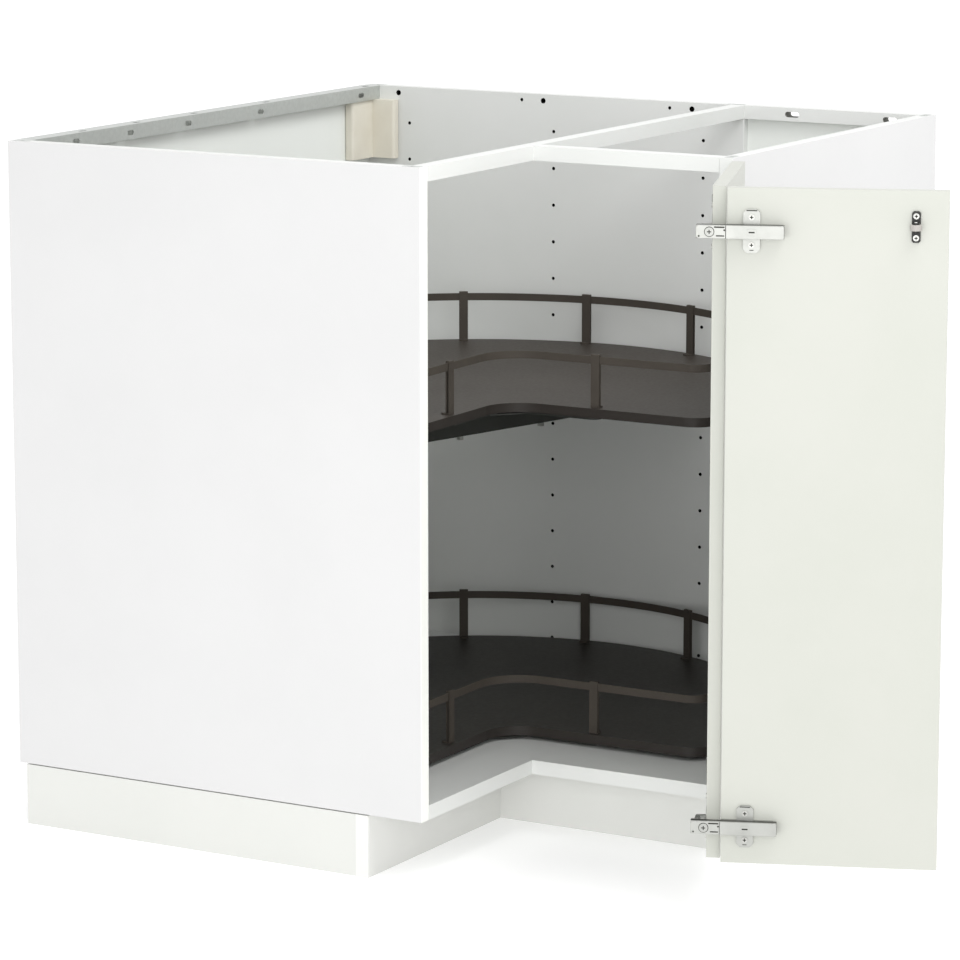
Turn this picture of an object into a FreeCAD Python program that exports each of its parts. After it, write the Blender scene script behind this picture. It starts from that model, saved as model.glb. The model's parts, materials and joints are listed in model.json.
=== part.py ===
import FreeCAD
import Part
import math
import os

V = FreeCAD.Vector

# Corner base cabinet with two turning shelves and a pair of corner doors. Millimetres, Z up.
# While it is drawn, the room corner behind the cabinet is at x = 0, y = 0. X runs along one
# wall, and the cabinet lies on the minus Y side. Every piece is then moved to the base centre.

# Carcass
WING_DEPTH = 600.0
OPENING_LENGTH = 275.0
WALL_LENGTH = WING_DEPTH + OPENING_LENGTH
CARCASS_HEIGHT = 800.0
PLINTH_HEIGHT = 80.0
BOARD = 18.0
BACK_BOARD = 6.0
PANEL_EASE = 0.8
OVERRUN = 1.0

# Shelf-pin holes in the side panels
PIN_HOLE_DIA = 5.0
PIN_HOLE_DEPTH = 11.0
PIN_HOLE_SIDES = 8
PIN_PITCH = 51.3
PIN_ROWS = 15
PIN_TOP_DROP = 51.0
PIN_COLUMN_SHARES = (0.122, 0.51, 0.898)
TOP_HOLE_DROP = 9.0
TOP_HOLE_DIA = 8.0
TOP_HOLE_SMALL_DIA = 5.0
TOP_HOLE_SHARES = (0.092, 0.482, 0.868)
TOP_HOLE_SIDE_STEP = 34.0

# Top rails
RAIL_HEIGHT = 18.0
RAIL_WIDTH = 20.0
BACK_RAIL_SLOT = 21.0
BACK_RAIL_SLOT_HEIGHT = 7.5
BACK_RAIL_SLOT_SHARES = (0.28, 0.84)
HANGER_WIDTH = 24.0
HANGER_HEIGHT = 19.0
HANGER_SHEET = 1.5
HANGER_HOLE_LENGTH = 14.0
HANGER_HOLE_HEIGHT = 6.5
SLOT_SIDES = 12
HANGER_HOLE_SHARES = (0.06, 0.37, 0.58, 0.74, 0.885)
FITTING_LEG = 26.0
FITTING_WIDTH = 12.0
FITTING_SHEET = 1.2
FITTING_HOLE_DIA = 5.0

# Corner block under the hanging rail
BLOCK_LEG_BACK = 66.0
BLOCK_LEG_SIDE = 50.0
BLOCK_THICKNESS = 14.0
BLOCK_HEIGHT = 82.0
BLOCK_ROUND = 4.0

# Legs and plinth
LEG_DIA = 32.0
LEG_SPINDLE_DIA = 18.0
LEG_SPINDLE_HEIGHT = 30.0
LEG_FOOT_DIA = 52.0
LEG_FOOT_HEIGHT = 9.0
LEG_FLANGE = 58.0
LEG_FLANGE_THICKNESS = 5.0
LEG_RIBS = 8
LEG_SIDES = 16
LEG_RIB_THICKNESS = 2.0
LEG_CORNER_INSET = 56.0
LEG_PLINTH_GAP = 38.0
PLINTH_BOARD = 18.0
PLINTH_SETBACK_MAIN = 76.0
PLINTH_SETBACK_WING = 52.0
PLINTH_TOP_GAP = 1.5
PLINTH_BACK_INSET = 11.0
CLIP_WIDTH = 22.0
CLIP_HEIGHT = 26.0
CLIP_SHEET = 2.0
CLIP_FIT = 0.1

# Doors
DOOR_BOARD = 16.0
DOOR_GAP = 2.0
DOOR_REVEAL = 2.0
DOOR_MEETING_GAP = 2.5
DOOR_EASE = 0.8
DOOR_OPEN_DEG = 111.7
DOOR_THROW_X = 6.5
DOOR_THROW_Y = 9.0

# Concealed hinges
CUP_DIA = 35.0
CUP_DEPTH = 11.5
CUP_WALL = 0.9
CUP_EDGE = 22.5
CUP_FIT = 0.05
CUP_SIDES = 24
FLANGE_LENGTH = 60.0
FLANGE_WIDTH = 19.0
FLANGE_SHEET = 1.2
FLANGE_SCREW_PITCH = 48.0
HINGE_TOP_INSET = 49.0
HINGE_BOTTOM_INSET = 45.0
HINGE_PIN_DIA = 2.6
HINGE_PIN_FIT = 0.06
LINK_END_RADIUS = 3.0
LINK_SHEET = 1.4
LINK_INNER_HALF = 4.2
LINK_SIDE_FIT = 0.3
LINK_STRETCH_SHARE = 1.083
LINK_FIRST_SHARE = 0.526
ARM_HALF = 7.75
ARM_SHEET = 1.5
ARM_DEPTH = 11.0
ARM_LENGTH = 62.0
ARM_PIVOT_INSET = 6.85
ARM_PIVOT_BACK = 1.25
CUP_PIVOT_SHIFT = 3.6
CUP_PIVOT_DEPTH = 4.6
PLATE_CENTRE = 37.0
PLATE_WIDTH = 19.5
PLATE_LENGTH = 50.0
PLATE_THICKNESS = 3.0
PLATE_SCREW_PITCH = 32.0
PLATE_ROUND = 4.0
SCREW_HEAD_DIA = 7.0
SCREW_HEAD_HEIGHT = 1.6
SCREW_SHANK_DIA = 3.5
SCREW_LENGTH = 12.0
SCREW_SLOT_DEPTH = 0.8
SCREW_SLOT_WIDTH = 1.0
SCREW_SIDES = 8
SCREW_HEAD_SIDES = 12

# Corner hinge between the two doors
PIE_KNUCKLE = 16.0
PIE_ARM_LENGTH = 66.0
PIE_PLATE_CENTRE = 28.5
PIE_PIN_DEPTH = 4.5
PIE_PIN_END = 11.0
PIE_ARM_PIN_IN = 5.5
PIE_SLOT_LENGTH = 9.0
PIE_SLOT_WIDTH = 4.5

# Roller catch
CATCH_EDGE = 37.0
CATCH_TOP = 41.0
CATCH_WIDTH = 10.0
CATCH_HEIGHT = 36.0
CATCH_SHEET = 2.5
CATCH_SCREW_PITCH = 25.0
ROLLER_DIA = 13.5
ROLLER_HEIGHT = 7.0
ROLLER_REACH = 8.5
ROLLER_PIN_DIA = 4.0
ROLLER_FIT = 0.1
ROLLER_LUG = 2.0
ROLLER_SIDE_GAP = 0.3

# Turning shelves
SHELF_BACK_GAP = 10.0
SHELF_END_GAP = 55.0
SHELF_RADIUS = (WALL_LENGTH - 2 * BOARD - SHELF_BACK_GAP - SHELF_END_GAP) / 2
TURN_CENTRE = BOARD + SHELF_BACK_GAP + SHELF_RADIUS
SHELF_NOTCH = 94.0
SHELF_BOARD = 12.0
SHELF_INNER_ROUND = 50.0
SHELF_TIP_ROUND = 30.0
LOWER_SHELF_RISE = 6.0
UPPER_SHELF_RISE = 430.0
RAIL_RISE = 66.0
GUARD_HEIGHT = 10.0
GUARD_SHEET = 2.0
GUARD_INSET = 8.0
POST_WIDTH = 12.0
POST_SHEET = 1.5
POST_OVER_RAIL = 2.5
POST_FOOT = 8.0
POST_FOOT_SHEET = 2.0
POST_FIRST_DEG = 11.8
POST_STEP_DEG = 26.5
POSTS_EACH_SIDE = 5
FRONT_POST_ALONG = 126.0
POST_FIT = 0.1

# Shelf bearings
CARRIER_RADIUS = 152.0
CARRIER_ARM_REACH = 224.0
CARRIER_ARM_INSET = 6.0
CARRIER_ARM_ROUND = 12.0
CARRIER_SHEET = 2.0
SPACER_HEIGHT = 1.6
SPACER_DIA = 16.0
SPACER_SIDES = 12
SPACER_RING_SHARES = (0.62, 0.9)
BEARING_GAP = 0.3
BASE_RADIUS = 128.0
HUB_DIA = 30.0
HUB_FIT = 0.1
HUB_HOLE_DIA = 18.0
HUB_LIP_DIA = 40.0

# Beam that carries the upper shelf
BEAM_HALF_WIDTH = 48.0
BEAM_DEPTH = 36.0
BEAM_SHEET = 2.0
BEAM_LIP = 14.0
BEAM_BRACKET_HEIGHT = 70.0
BEAM_BRACKET_LENGTH = 128.0
BEAM_FIT = 0.4
BEAM_BOLT_HALF_SPAN = 74.0
BEAM_BOLT_DIA = 6.0
BEAM_BOLT_HEAD_DIA = 10.0
BEAM_BOLT_HEAD = 5.0
BEAM_NUT_SIDES = 6
SUNK_SHARE = 0.9
FLOOR_SCREW_LENGTH = 15.0

# Levels and planes that follow from the sizes
FLOOR_BOARD_TOP = PLINTH_HEIGHT + BOARD
CARCASS_TOP = PLINTH_HEIGHT + CARCASS_HEIGHT
RAIL_BOTTOM = CARCASS_TOP - RAIL_HEIGHT
SIDE_FACE = -BOARD
LEFT_FACE = -(WALL_LENGTH - BOARD)
RIGHT_FACE = WALL_LENGTH - BOARD
DOOR_FACE = WING_DEPTH + DOOR_GAP
DOOR_OUTER = DOOR_FACE + DOOR_BOARD
DOOR_BOTTOM = PLINTH_HEIGHT + DOOR_REVEAL
DOOR_TOP = CARCASS_TOP - DOOR_REVEAL
DOOR_FAR = WALL_LENGTH - DOOR_REVEAL
DOOR_NEAR = DOOR_OUTER + DOOR_MEETING_GAP
HINGE_LEVELS = (DOOR_BOTTOM + HINGE_BOTTOM_INSET, DOOR_TOP - HINGE_TOP_INSET)
LOWER_SHELF_BASE = FLOOR_BOARD_TOP + LOWER_SHELF_RISE
UPPER_SHELF_BASE = FLOOR_BOARD_TOP + UPPER_SHELF_RISE
BASE_SHEET = LOWER_SHELF_RISE - SPACER_HEIGHT - CARRIER_SHEET - BEARING_GAP
BEAM_TOP = UPPER_SHELF_BASE - LOWER_SHELF_RISE
SHELF_CENTRE = V(TURN_CENTRE, -TURN_CENTRE, 0)


def box(x0, x1, y0, y1, z0, z1):
    low = V(min(x0, x1), min(y0, y1), min(z0, z1))
    return Part.makeBox(abs(x1 - x0), abs(y1 - y0), abs(z1 - z0), low)


def rod(x, y, z0, z1, dia):
    return Part.makeCylinder(dia / 2, z1 - z0, V(x, y, z0))


def rod_y(x, y0, y1, z, dia):
    return Part.makeCylinder(dia / 2, y1 - y0, V(x, y0, z), V(0, 1, 0))


def sided(point, direction, length, dia, sides):
    """A straight rod with flat sides, for small round pieces and holes that repeat often."""
    ring = []
    for number in range(sides):
        angle = math.radians(number * 360 / sides)
        ring.append(V(dia / 2 * math.cos(angle), dia / 2 * math.sin(angle), 0))
    body = Part.Face(Part.makePolygon(ring + ring[:1])).extrude(V(0, 0, length))
    return put(body, point, direction)


def plan(points, z0, z1):
    """An upright prism over a closed outline of plan points."""
    ring = [V(x, y, z0) for x, y in points]
    return Part.Face(Part.makePolygon(ring + ring[:1])).extrude(V(0, 0, z1 - z0))


def bar(start, end, radius, z0, z1):
    """A flat link: round ends about two plan points, with straight sides."""
    run = V(end[0] - start[0], end[1] - start[1], 0)
    side = V(-run.y, run.x, 0) * (radius / run.Length)
    a = V(start[0], start[1], z0)
    b = V(end[0], end[1], z0)
    out = run * (radius / run.Length)
    edges = [
        Part.LineSegment(a + side, b + side).toShape(),
        Part.Arc(b + side, b + out, b - side).toShape(),
        Part.LineSegment(b - side, a - side).toShape(),
        Part.Arc(a - side, a - out, a + side).toShape(),
    ]
    return Part.Face(Part.Wire(edges)).extrude(V(0, 0, z1 - z0))


def slot_x(y, z, length, height, x0, x1):
    """A slot that runs along Y and is cut along X."""
    flat = (length - height) / 2
    body = box(x0, x1, y - flat, y + flat, z - height / 2, z + height / 2)
    ends = [V(x0, y - flat, z), V(x0, y + flat, z)]
    return body.fuse([Part.makeCylinder(height / 2, x1 - x0, end, V(1, 0, 0)) for end in ends])


def slot_z(x, y, length, width, z0, z1):
    """A slot that runs along Y and is cut along Z."""
    flat = (length - width) / 2
    body = box(x - width / 2, x + width / 2, y - flat, y + flat, z0, z1)
    ends = [V(x, y - flat, z0), V(x, y + flat, z0)]
    return body.fuse([sided(end, V(0, 0, 1), z1 - z0, width, SLOT_SIDES) for end in ends])


def slot_y(x, z, length, height, y0, y1):
    """A slot that runs along X and is cut along Y."""
    flat = (length - height) / 2
    body = box(x - flat, x + flat, y0, y1, z - height / 2, z + height / 2)
    return body.fuse([rod_y(x - flat, y0, y1, z, height), rod_y(x + flat, y0, y1, z, height)])


def along(shape, direction):
    """The straight edges that lie along a direction."""
    found = []
    for edge in shape.Edges:
        run = edge.Vertexes[-1].Point - edge.Vertexes[0].Point
        if run.Length and abs(run.normalize().dot(direction)) > 0.999:
            found.append(edge)
    return found


def eased(shape, radius, direction):
    return shape.makeFillet(radius, along(shape, direction))


def bevelled(shape, size, direction):
    return shape.makeChamfer(size, along(shape, direction))


def joined(shapes):
    whole = shapes[0].fuse(shapes[1:]) if len(shapes) > 1 else shapes[0]
    return whole.removeSplitter()


def group(shapes):
    solids = []
    for shape in shapes:
        solids += shape.Solids
    return Part.makeCompound(solids)


def turned(shape, centre, degrees, axis=V(0, 0, 1)):
    copy = shape.copy()
    copy.rotate(centre, axis, degrees)
    return copy


def mirrored(shape):
    """The same shape on the other side of the cabinet's diagonal."""
    return shape.mirror(V(0, 0, 0), V(1, 1, 0).normalize())


# Door motion

def spin(point, centre, degrees):
    angle = math.radians(degrees)
    dx = point[0] - centre[0]
    dy = point[1] - centre[1]
    x = centre[0] + dx * math.cos(angle) - dy * math.sin(angle)
    y = centre[1] + dx * math.sin(angle) + dy * math.cos(angle)
    return (x, y)


def open_point(point):
    """Where a point of the shut doors lies once they stand open."""
    x, y = spin(point, (DOOR_FAR, -DOOR_FACE), DOOR_OPEN_DEG)
    return (x + DOOR_THROW_X, y - DOOR_THROW_Y)


def opened(shape):
    copy = turned(shape, V(DOOR_FAR, -DOOR_FACE, 0), DOOR_OPEN_DEG)
    copy.translate(V(DOOR_THROW_X, -DOOR_THROW_Y, 0))
    return copy


def apart(a, b):
    return math.hypot(b[0] - a[0], b[1] - a[1])


def knee(a, b, from_a, from_b, side):
    """The point at two given distances from two plan points, on one side of their line."""
    span = apart(a, b)
    run = (from_a ** 2 - from_b ** 2 + span ** 2) / (2 * span)
    rise = side * math.sqrt(from_a ** 2 - run ** 2)
    ux = (b[0] - a[0]) / span
    uy = (b[1] - a[1]) / span
    return (a[0] + run * ux - rise * uy, a[1] + run * uy + rise * ux)


def bearing(a, b):
    return math.degrees(math.atan2(b[1] - a[1], b[0] - a[0]))


# Pivots of the hinges between the side panel and the first door, with the doors shut and open
PIVOT_ARM = (RIGHT_FACE - ARM_PIVOT_INSET, -(WING_DEPTH - ARM_PIVOT_BACK))
PIVOT_CUP = (DOOR_FAR - CUP_EDGE - CUP_PIVOT_SHIFT, -(DOOR_FACE + CUP_PIVOT_DEPTH))
PIVOT_CUP_OPEN = open_point(PIVOT_CUP)
REACH = apart(PIVOT_ARM, PIVOT_CUP_OPEN)
LINK_FIRST = REACH * LINK_FIRST_SHARE
LINK_SECOND = REACH * (LINK_STRETCH_SHARE - LINK_FIRST_SHARE)
PIVOT_KNEE = knee(PIVOT_ARM, PIVOT_CUP, LINK_FIRST, LINK_SECOND, -1)
PIVOT_KNEE_OPEN = knee(PIVOT_ARM, PIVOT_CUP_OPEN, LINK_FIRST, LINK_SECOND, -1)

# Pivots of the corner hinges, with the doors shut
PIE_PIVOT_CUP = (DOOR_NEAR + PIE_PIN_END, -(DOOR_FACE + PIE_PIN_DEPTH))
PIE_PIVOT_ARM = (DOOR_FACE - PIE_ARM_PIN_IN, -(DOOR_FACE - PIE_KNUCKLE + PIE_ARM_PIN_IN))


# Carcass

def pin_holes(x0, x1, face, into):
    """The columns of shelf-pin holes in a side panel, with the fitting holes along its top."""
    places = []
    for share in PIN_COLUMN_SHARES:
        x = x0 + (x1 - x0) * share
        for row in range(PIN_ROWS):
            z = CARCASS_TOP - PIN_TOP_DROP - row * PIN_PITCH
            if z > FLOOR_BOARD_TOP + PIN_HOLE_DIA:
                places.append((x, z, PIN_HOLE_DIA))
    z = CARCASS_TOP - TOP_HOLE_DROP
    for share in TOP_HOLE_SHARES:
        x = x0 + (x1 - x0) * share
        places.append((x, z, TOP_HOLE_DIA))
        places.append((x - TOP_HOLE_SIDE_STEP, z, TOP_HOLE_SMALL_DIA))
    low = min(face, into)
    depth = abs(into - face)
    return [sided(V(x, low, z), V(0, 1, 0), depth, dia, PIN_HOLE_SIDES) for x, z, dia in places]


def side_panel(y0, y1, face, into):
    body = box(0, WING_DEPTH, y0, y1, PLINTH_HEIGHT, CARCASS_TOP)
    body = eased(body, PANEL_EASE, V(0, 0, 1))
    return body.cut(pin_holes(0, WING_DEPTH, face, into) + fitting_pockets())


def long_side_panel():
    return side_panel(SIDE_FACE, 0, SIDE_FACE - OVERRUN, SIDE_FACE + PIN_HOLE_DEPTH)


def left_end_panel():
    return side_panel(-WALL_LENGTH, LEFT_FACE, LEFT_FACE - PIN_HOLE_DEPTH, LEFT_FACE + OVERRUN)


def right_end_panel():
    body = box(RIGHT_FACE, WALL_LENGTH, -WING_DEPTH, 0, PLINTH_HEIGHT, CARCASS_TOP)
    body = eased(body, PANEL_EASE, V(0, 0, 1))
    holes = []
    for share in PIN_COLUMN_SHARES:
        for row in range(PIN_ROWS):
            z = CARCASS_TOP - PIN_TOP_DROP - row * PIN_PITCH
            y = -WING_DEPTH * share
            if z > FLOOR_BOARD_TOP + PIN_HOLE_DIA:
                clear = min(abs(z - level) for level in HINGE_LEVELS)
                if share < max(PIN_COLUMN_SHARES) or clear > PLATE_LENGTH / 2 + PIN_HOLE_DIA:
                    start = V(RIGHT_FACE - OVERRUN, y, z)
                    depth = PIN_HOLE_DEPTH + OVERRUN
                    holes.append(sided(start, V(1, 0, 0), depth, PIN_HOLE_DIA, PIN_HOLE_SIDES))
    for level in HINGE_LEVELS:
        holes += plate_screw_shapes(SCREW_SHANK_DIA, level)
    return body.cut(holes + fitting_pockets())


def main_back_panel():
    return box(0, BACK_BOARD, LEFT_FACE, SIDE_FACE, PLINTH_HEIGHT, CARCASS_TOP - HANGER_SHEET)


def wing_back_panel():
    return box(WING_DEPTH, RIGHT_FACE, -BACK_BOARD, 0, PLINTH_HEIGHT, RAIL_BOTTOM)


def main_bottom_panel():
    body = box(BACK_BOARD, WING_DEPTH, LEFT_FACE, SIDE_FACE, PLINTH_HEIGHT, FLOOR_BOARD_TOP)
    return body.cut(base_bolt_holes())


def wing_bottom_panel():
    return box(WING_DEPTH, RIGHT_FACE, -WING_DEPTH, -BACK_BOARD, PLINTH_HEIGHT, FLOOR_BOARD_TOP)


def main_front_rail():
    back = WING_DEPTH - RAIL_WIDTH
    return box(back, WING_DEPTH, LEFT_FACE, SIDE_FACE, RAIL_BOTTOM, CARCASS_TOP)


def wing_front_rail():
    back = -WING_DEPTH + RAIL_WIDTH
    return box(WING_DEPTH, RIGHT_FACE, -WING_DEPTH, back, RAIL_BOTTOM, CARCASS_TOP)


def wing_back_rail():
    body = box(WING_DEPTH, RIGHT_FACE, -BOARD, 0, RAIL_BOTTOM, CARCASS_TOP)
    run = RIGHT_FACE - WING_DEPTH
    mid = (RAIL_BOTTOM + CARCASS_TOP) / 2
    slots = []
    for share in BACK_RAIL_SLOT_SHARES:
        x = WING_DEPTH + run * share
        slots.append(slot_y(x, mid, BACK_RAIL_SLOT, BACK_RAIL_SLOT_HEIGHT, -BOARD - OVERRUN, OVERRUN))
    return body.cut(slots)


def hanging_rail():
    """The bent steel rail along the top of the back, with oblong wall-fixing holes in both flanges."""
    low = CARCASS_TOP - HANGER_HEIGHT
    top = box(0, HANGER_WIDTH, LEFT_FACE, SIDE_FACE, CARCASS_TOP - HANGER_SHEET, CARCASS_TOP)
    inner = box(HANGER_WIDTH - HANGER_SHEET, HANGER_WIDTH, LEFT_FACE, SIDE_FACE, low, CARCASS_TOP)
    body = joined([top, inner])
    run = LEFT_FACE - SIDE_FACE
    mid = low + (HANGER_HEIGHT - HANGER_SHEET) / 2
    tools = []
    for share in HANGER_HOLE_SHARES:
        y = SIDE_FACE + run * share
        tools.append(slot_x(y, mid, HANGER_HOLE_LENGTH, HANGER_HOLE_HEIGHT, 0, HANGER_WIDTH + OVERRUN))
        x = BACK_BOARD + (HANGER_WIDTH - HANGER_SHEET - BACK_BOARD) / 2
        y += HANGER_HOLE_LENGTH * 2
        low_top = CARCASS_TOP - HANGER_SHEET - OVERRUN
        tools.append(slot_z(x, y, HANGER_HOLE_LENGTH, HANGER_HOLE_HEIGHT, low_top, CARCASS_TOP + OVERRUN))
    return body.cut(tools)


def fitting(x, y, along_x, height, grow=0):
    """The outline of a flat corner fitting, let into the top of a panel from its surface down."""
    size = (FITTING_LEG, FITTING_WIDTH) if along_x else (FITTING_WIDTH, FITTING_LEG)
    top = CARCASS_TOP + grow
    body = box(x, x + size[0], y, y + size[1], CARCASS_TOP - height, top)
    return bevelled(body, FITTING_WIDTH / 4, V(0, 0, 1))


def fitting_places():
    edge = (BOARD - FITTING_WIDTH) / 2
    far = WING_DEPTH - edge - FITTING_LEG
    return (
        (edge, -WALL_LENGTH + edge, True), (far, -WALL_LENGTH + edge, True),
        (edge, SIDE_FACE + edge, True), (far, SIDE_FACE + edge, True),
        (RIGHT_FACE + edge, -WING_DEPTH + edge, False), (RIGHT_FACE + edge, -edge - FITTING_LEG, False),
    )


def fitting_pockets():
    return [fitting(x, y, along_x, FITTING_SHEET, OVERRUN) for x, y, along_x in fitting_places()]


def rail_corner_fittings():
    shapes = []
    for x, y, along_x in fitting_places():
        half = (FITTING_LEG / 2, FITTING_WIDTH / 2) if along_x else (FITTING_WIDTH / 2, FITTING_LEG / 2)
        start = V(x + half[0], y + half[1], CARCASS_TOP - FITTING_SHEET - OVERRUN)
        hole = sided(start, V(0, 0, 1), FITTING_SHEET + 2 * OVERRUN, FITTING_HOLE_DIA, SCREW_SIDES)
        shapes.append(fitting(x, y, along_x, FITTING_SHEET).cut(hole))
    return group(shapes)


def corner_block():
    top = CARCASS_TOP - HANGER_HEIGHT
    inner = (BACK_BOARD + BLOCK_THICKNESS, SIDE_FACE - BLOCK_THICKNESS)
    points = [
        (BACK_BOARD, SIDE_FACE),
        (BACK_BOARD + BLOCK_LEG_SIDE, SIDE_FACE),
        (BACK_BOARD + BLOCK_LEG_SIDE, inner[1]),
        inner,
        (inner[0], SIDE_FACE - BLOCK_LEG_BACK),
        (BACK_BOARD, SIDE_FACE - BLOCK_LEG_BACK),
    ]
    body = plan(points, top - BLOCK_HEIGHT, top)
    free = [e for e in along(body, V(0, 0, 1)) if apart(e.Vertexes[0].Point, inner) > BLOCK_THICKNESS]
    ends = [e for e in free if apart(e.Vertexes[0].Point, (BACK_BOARD, SIDE_FACE)) > BLOCK_THICKNESS * 2]
    return body.makeFillet(BLOCK_ROUND, ends)


# Legs and plinth

def leg_places():
    near = LEG_CORNER_INSET
    front = WING_DEPTH - PLINTH_SETBACK_MAIN - PLINTH_BOARD - LEG_PLINTH_GAP
    wing_front = -(WING_DEPTH - PLINTH_SETBACK_WING - PLINTH_BOARD - LEG_PLINTH_GAP)
    left = -(WALL_LENGTH - PLINTH_BOARD - LEG_PLINTH_GAP)
    right = WALL_LENGTH - LEG_CORNER_INSET
    return (
        (near, -near), (near, left / 2), (near, left), (front, left),
        (front, wing_front), (right, wing_front), (right, -near), (front, -near),
    )


def leg_socket(x, y):
    """The leg's screwed flange and ribbed barrel."""
    top = PLINTH_HEIGHT - LEG_FLANGE_THICKNESS
    low = LEG_SPINDLE_HEIGHT
    half = LEG_FLANGE / 2
    flange = box(x - half, x + half, y - half, y + half, top, PLINTH_HEIGHT)
    flange = bevelled(flange, LEG_FLANGE / 8, V(0, 0, 1))
    barrel = sided(V(x, y, low), V(0, 0, 1), top - low, LEG_DIA, LEG_SIDES)
    ribs = []
    reach = half - LEG_RIB_THICKNESS
    for number in range(LEG_RIBS // 2):
        side = LEG_RIB_THICKNESS / 2
        rib = box(x - reach, x + reach, y - side, y + side, (top + low) / 2, top)
        ribs.append(turned(rib, V(x, y, 0), number * 360 / LEG_RIBS))
    return joined([flange, barrel] + ribs)


def leg_foot(x, y):
    """The sole, with the part of the adjusting spindle that shows under the barrel."""
    sole = sided(V(x, y, 0), V(0, 0, 1), LEG_FOOT_HEIGHT, LEG_FOOT_DIA, LEG_SIDES)
    return joined([sole, sided(V(x, y, 0), V(0, 0, 1), LEG_SPINDLE_HEIGHT, LEG_SPINDLE_DIA, LEG_SIDES)])


def leg_sockets():
    return group([leg_socket(x, y) for x, y in leg_places()])


def leg_feet():
    return group([leg_foot(x, y) for x, y in leg_places()])


PLINTH_TOP = PLINTH_HEIGHT - PLINTH_TOP_GAP
PLINTH_MAIN_FACE = WING_DEPTH - PLINTH_SETBACK_MAIN
PLINTH_WING_FACE = -(WING_DEPTH - PLINTH_SETBACK_WING)


def side_plinth():
    end = PLINTH_MAIN_FACE - PLINTH_BOARD
    return box(PLINTH_BACK_INSET, end, -WALL_LENGTH, -WALL_LENGTH + PLINTH_BOARD, 0, PLINTH_TOP)


def front_plinth():
    inner = PLINTH_MAIN_FACE - PLINTH_BOARD
    return box(inner, PLINTH_MAIN_FACE, -WALL_LENGTH, PLINTH_WING_FACE, 0, PLINTH_TOP)


def wing_plinth():
    start = PLINTH_MAIN_FACE - PLINTH_BOARD
    return box(start, WALL_LENGTH, PLINTH_WING_FACE, PLINTH_WING_FACE + PLINTH_BOARD, 0, PLINTH_TOP)


def plinth_clip(x, y, quarter_turns):
    """A spring clip that holds a plinth board to a leg: a back plate and a ring part round the barrel."""
    middle = (LEG_SPINDLE_HEIGHT + PLINTH_HEIGHT - LEG_FLANGE_THICKNESS) / 2
    top = middle - CLIP_SHEET / 2
    low = LEG_SPINDLE_HEIGHT + CLIP_SHEET
    reach = LEG_PLINTH_GAP
    inner = LEG_DIA / 2 + CLIP_FIT
    high = top - low
    ring = sided(V(x, y, low), V(0, 0, 1), high, 2 * (inner + CLIP_SHEET), LEG_SIDES)
    ring = ring.cut([
        sided(V(x, y, low - OVERRUN), V(0, 0, 1), high + 2 * OVERRUN, 2 * inner, LEG_SIDES),
        box(x - LEG_DIA, x - LEG_DIA / 4, y - LEG_DIA, y + LEG_DIA, low - OVERRUN, top + OVERRUN),
    ])
    neck = box(x + inner + CLIP_SHEET / 2, x + reach, y - CLIP_WIDTH / 4, y + CLIP_WIDTH / 4, low, top)
    plate = box(x + reach - CLIP_SHEET, x + reach, y - CLIP_WIDTH / 2, y + CLIP_WIDTH / 2, low - CLIP_HEIGHT / 2, top)
    return turned(joined([ring, neck, plate]), V(x, y, 0), quarter_turns * 90)


def plinth_clips():
    places = leg_places()
    return group([
        plinth_clip(places[2][0], places[2][1], -1),
        plinth_clip(places[3][0], places[3][1], 0),
        plinth_clip(places[4][0], places[4][1], -1),
        plinth_clip(places[5][0], places[5][1], -1),
    ])


# Fasteners

def screw(shank_dia, length):
    """A pan-head wood screw with a crossed recess, head up, under its head at z = 0."""
    head = sided(V(0, 0, 0), V(0, 0, 1), SCREW_HEAD_HEIGHT, SCREW_HEAD_DIA, SCREW_HEAD_SIDES)
    shank = sided(V(0, 0, -length), V(0, 0, 1), length, shank_dia, SCREW_SIDES)
    arm = SCREW_HEAD_DIA / 4
    half = SCREW_SLOT_WIDTH / 2
    low = SCREW_HEAD_HEIGHT - SCREW_SLOT_DEPTH
    cross = [
        box(-arm, arm, -half, half, low, SCREW_HEAD_HEIGHT + OVERRUN),
        box(-half, half, -arm, arm, low, SCREW_HEAD_HEIGHT + OVERRUN),
    ]
    return joined([head, shank]).cut(cross)


def put(shape, point, direction):
    """Turns a shape so that its Z axis lies along a direction, and moves it to a point."""
    copy = shape.copy()
    copy.Placement = FreeCAD.Placement(point, FreeCAD.Rotation(V(0, 0, 1), direction))
    return copy


# Hinges between the side panel and the first door, drawn shut

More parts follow.
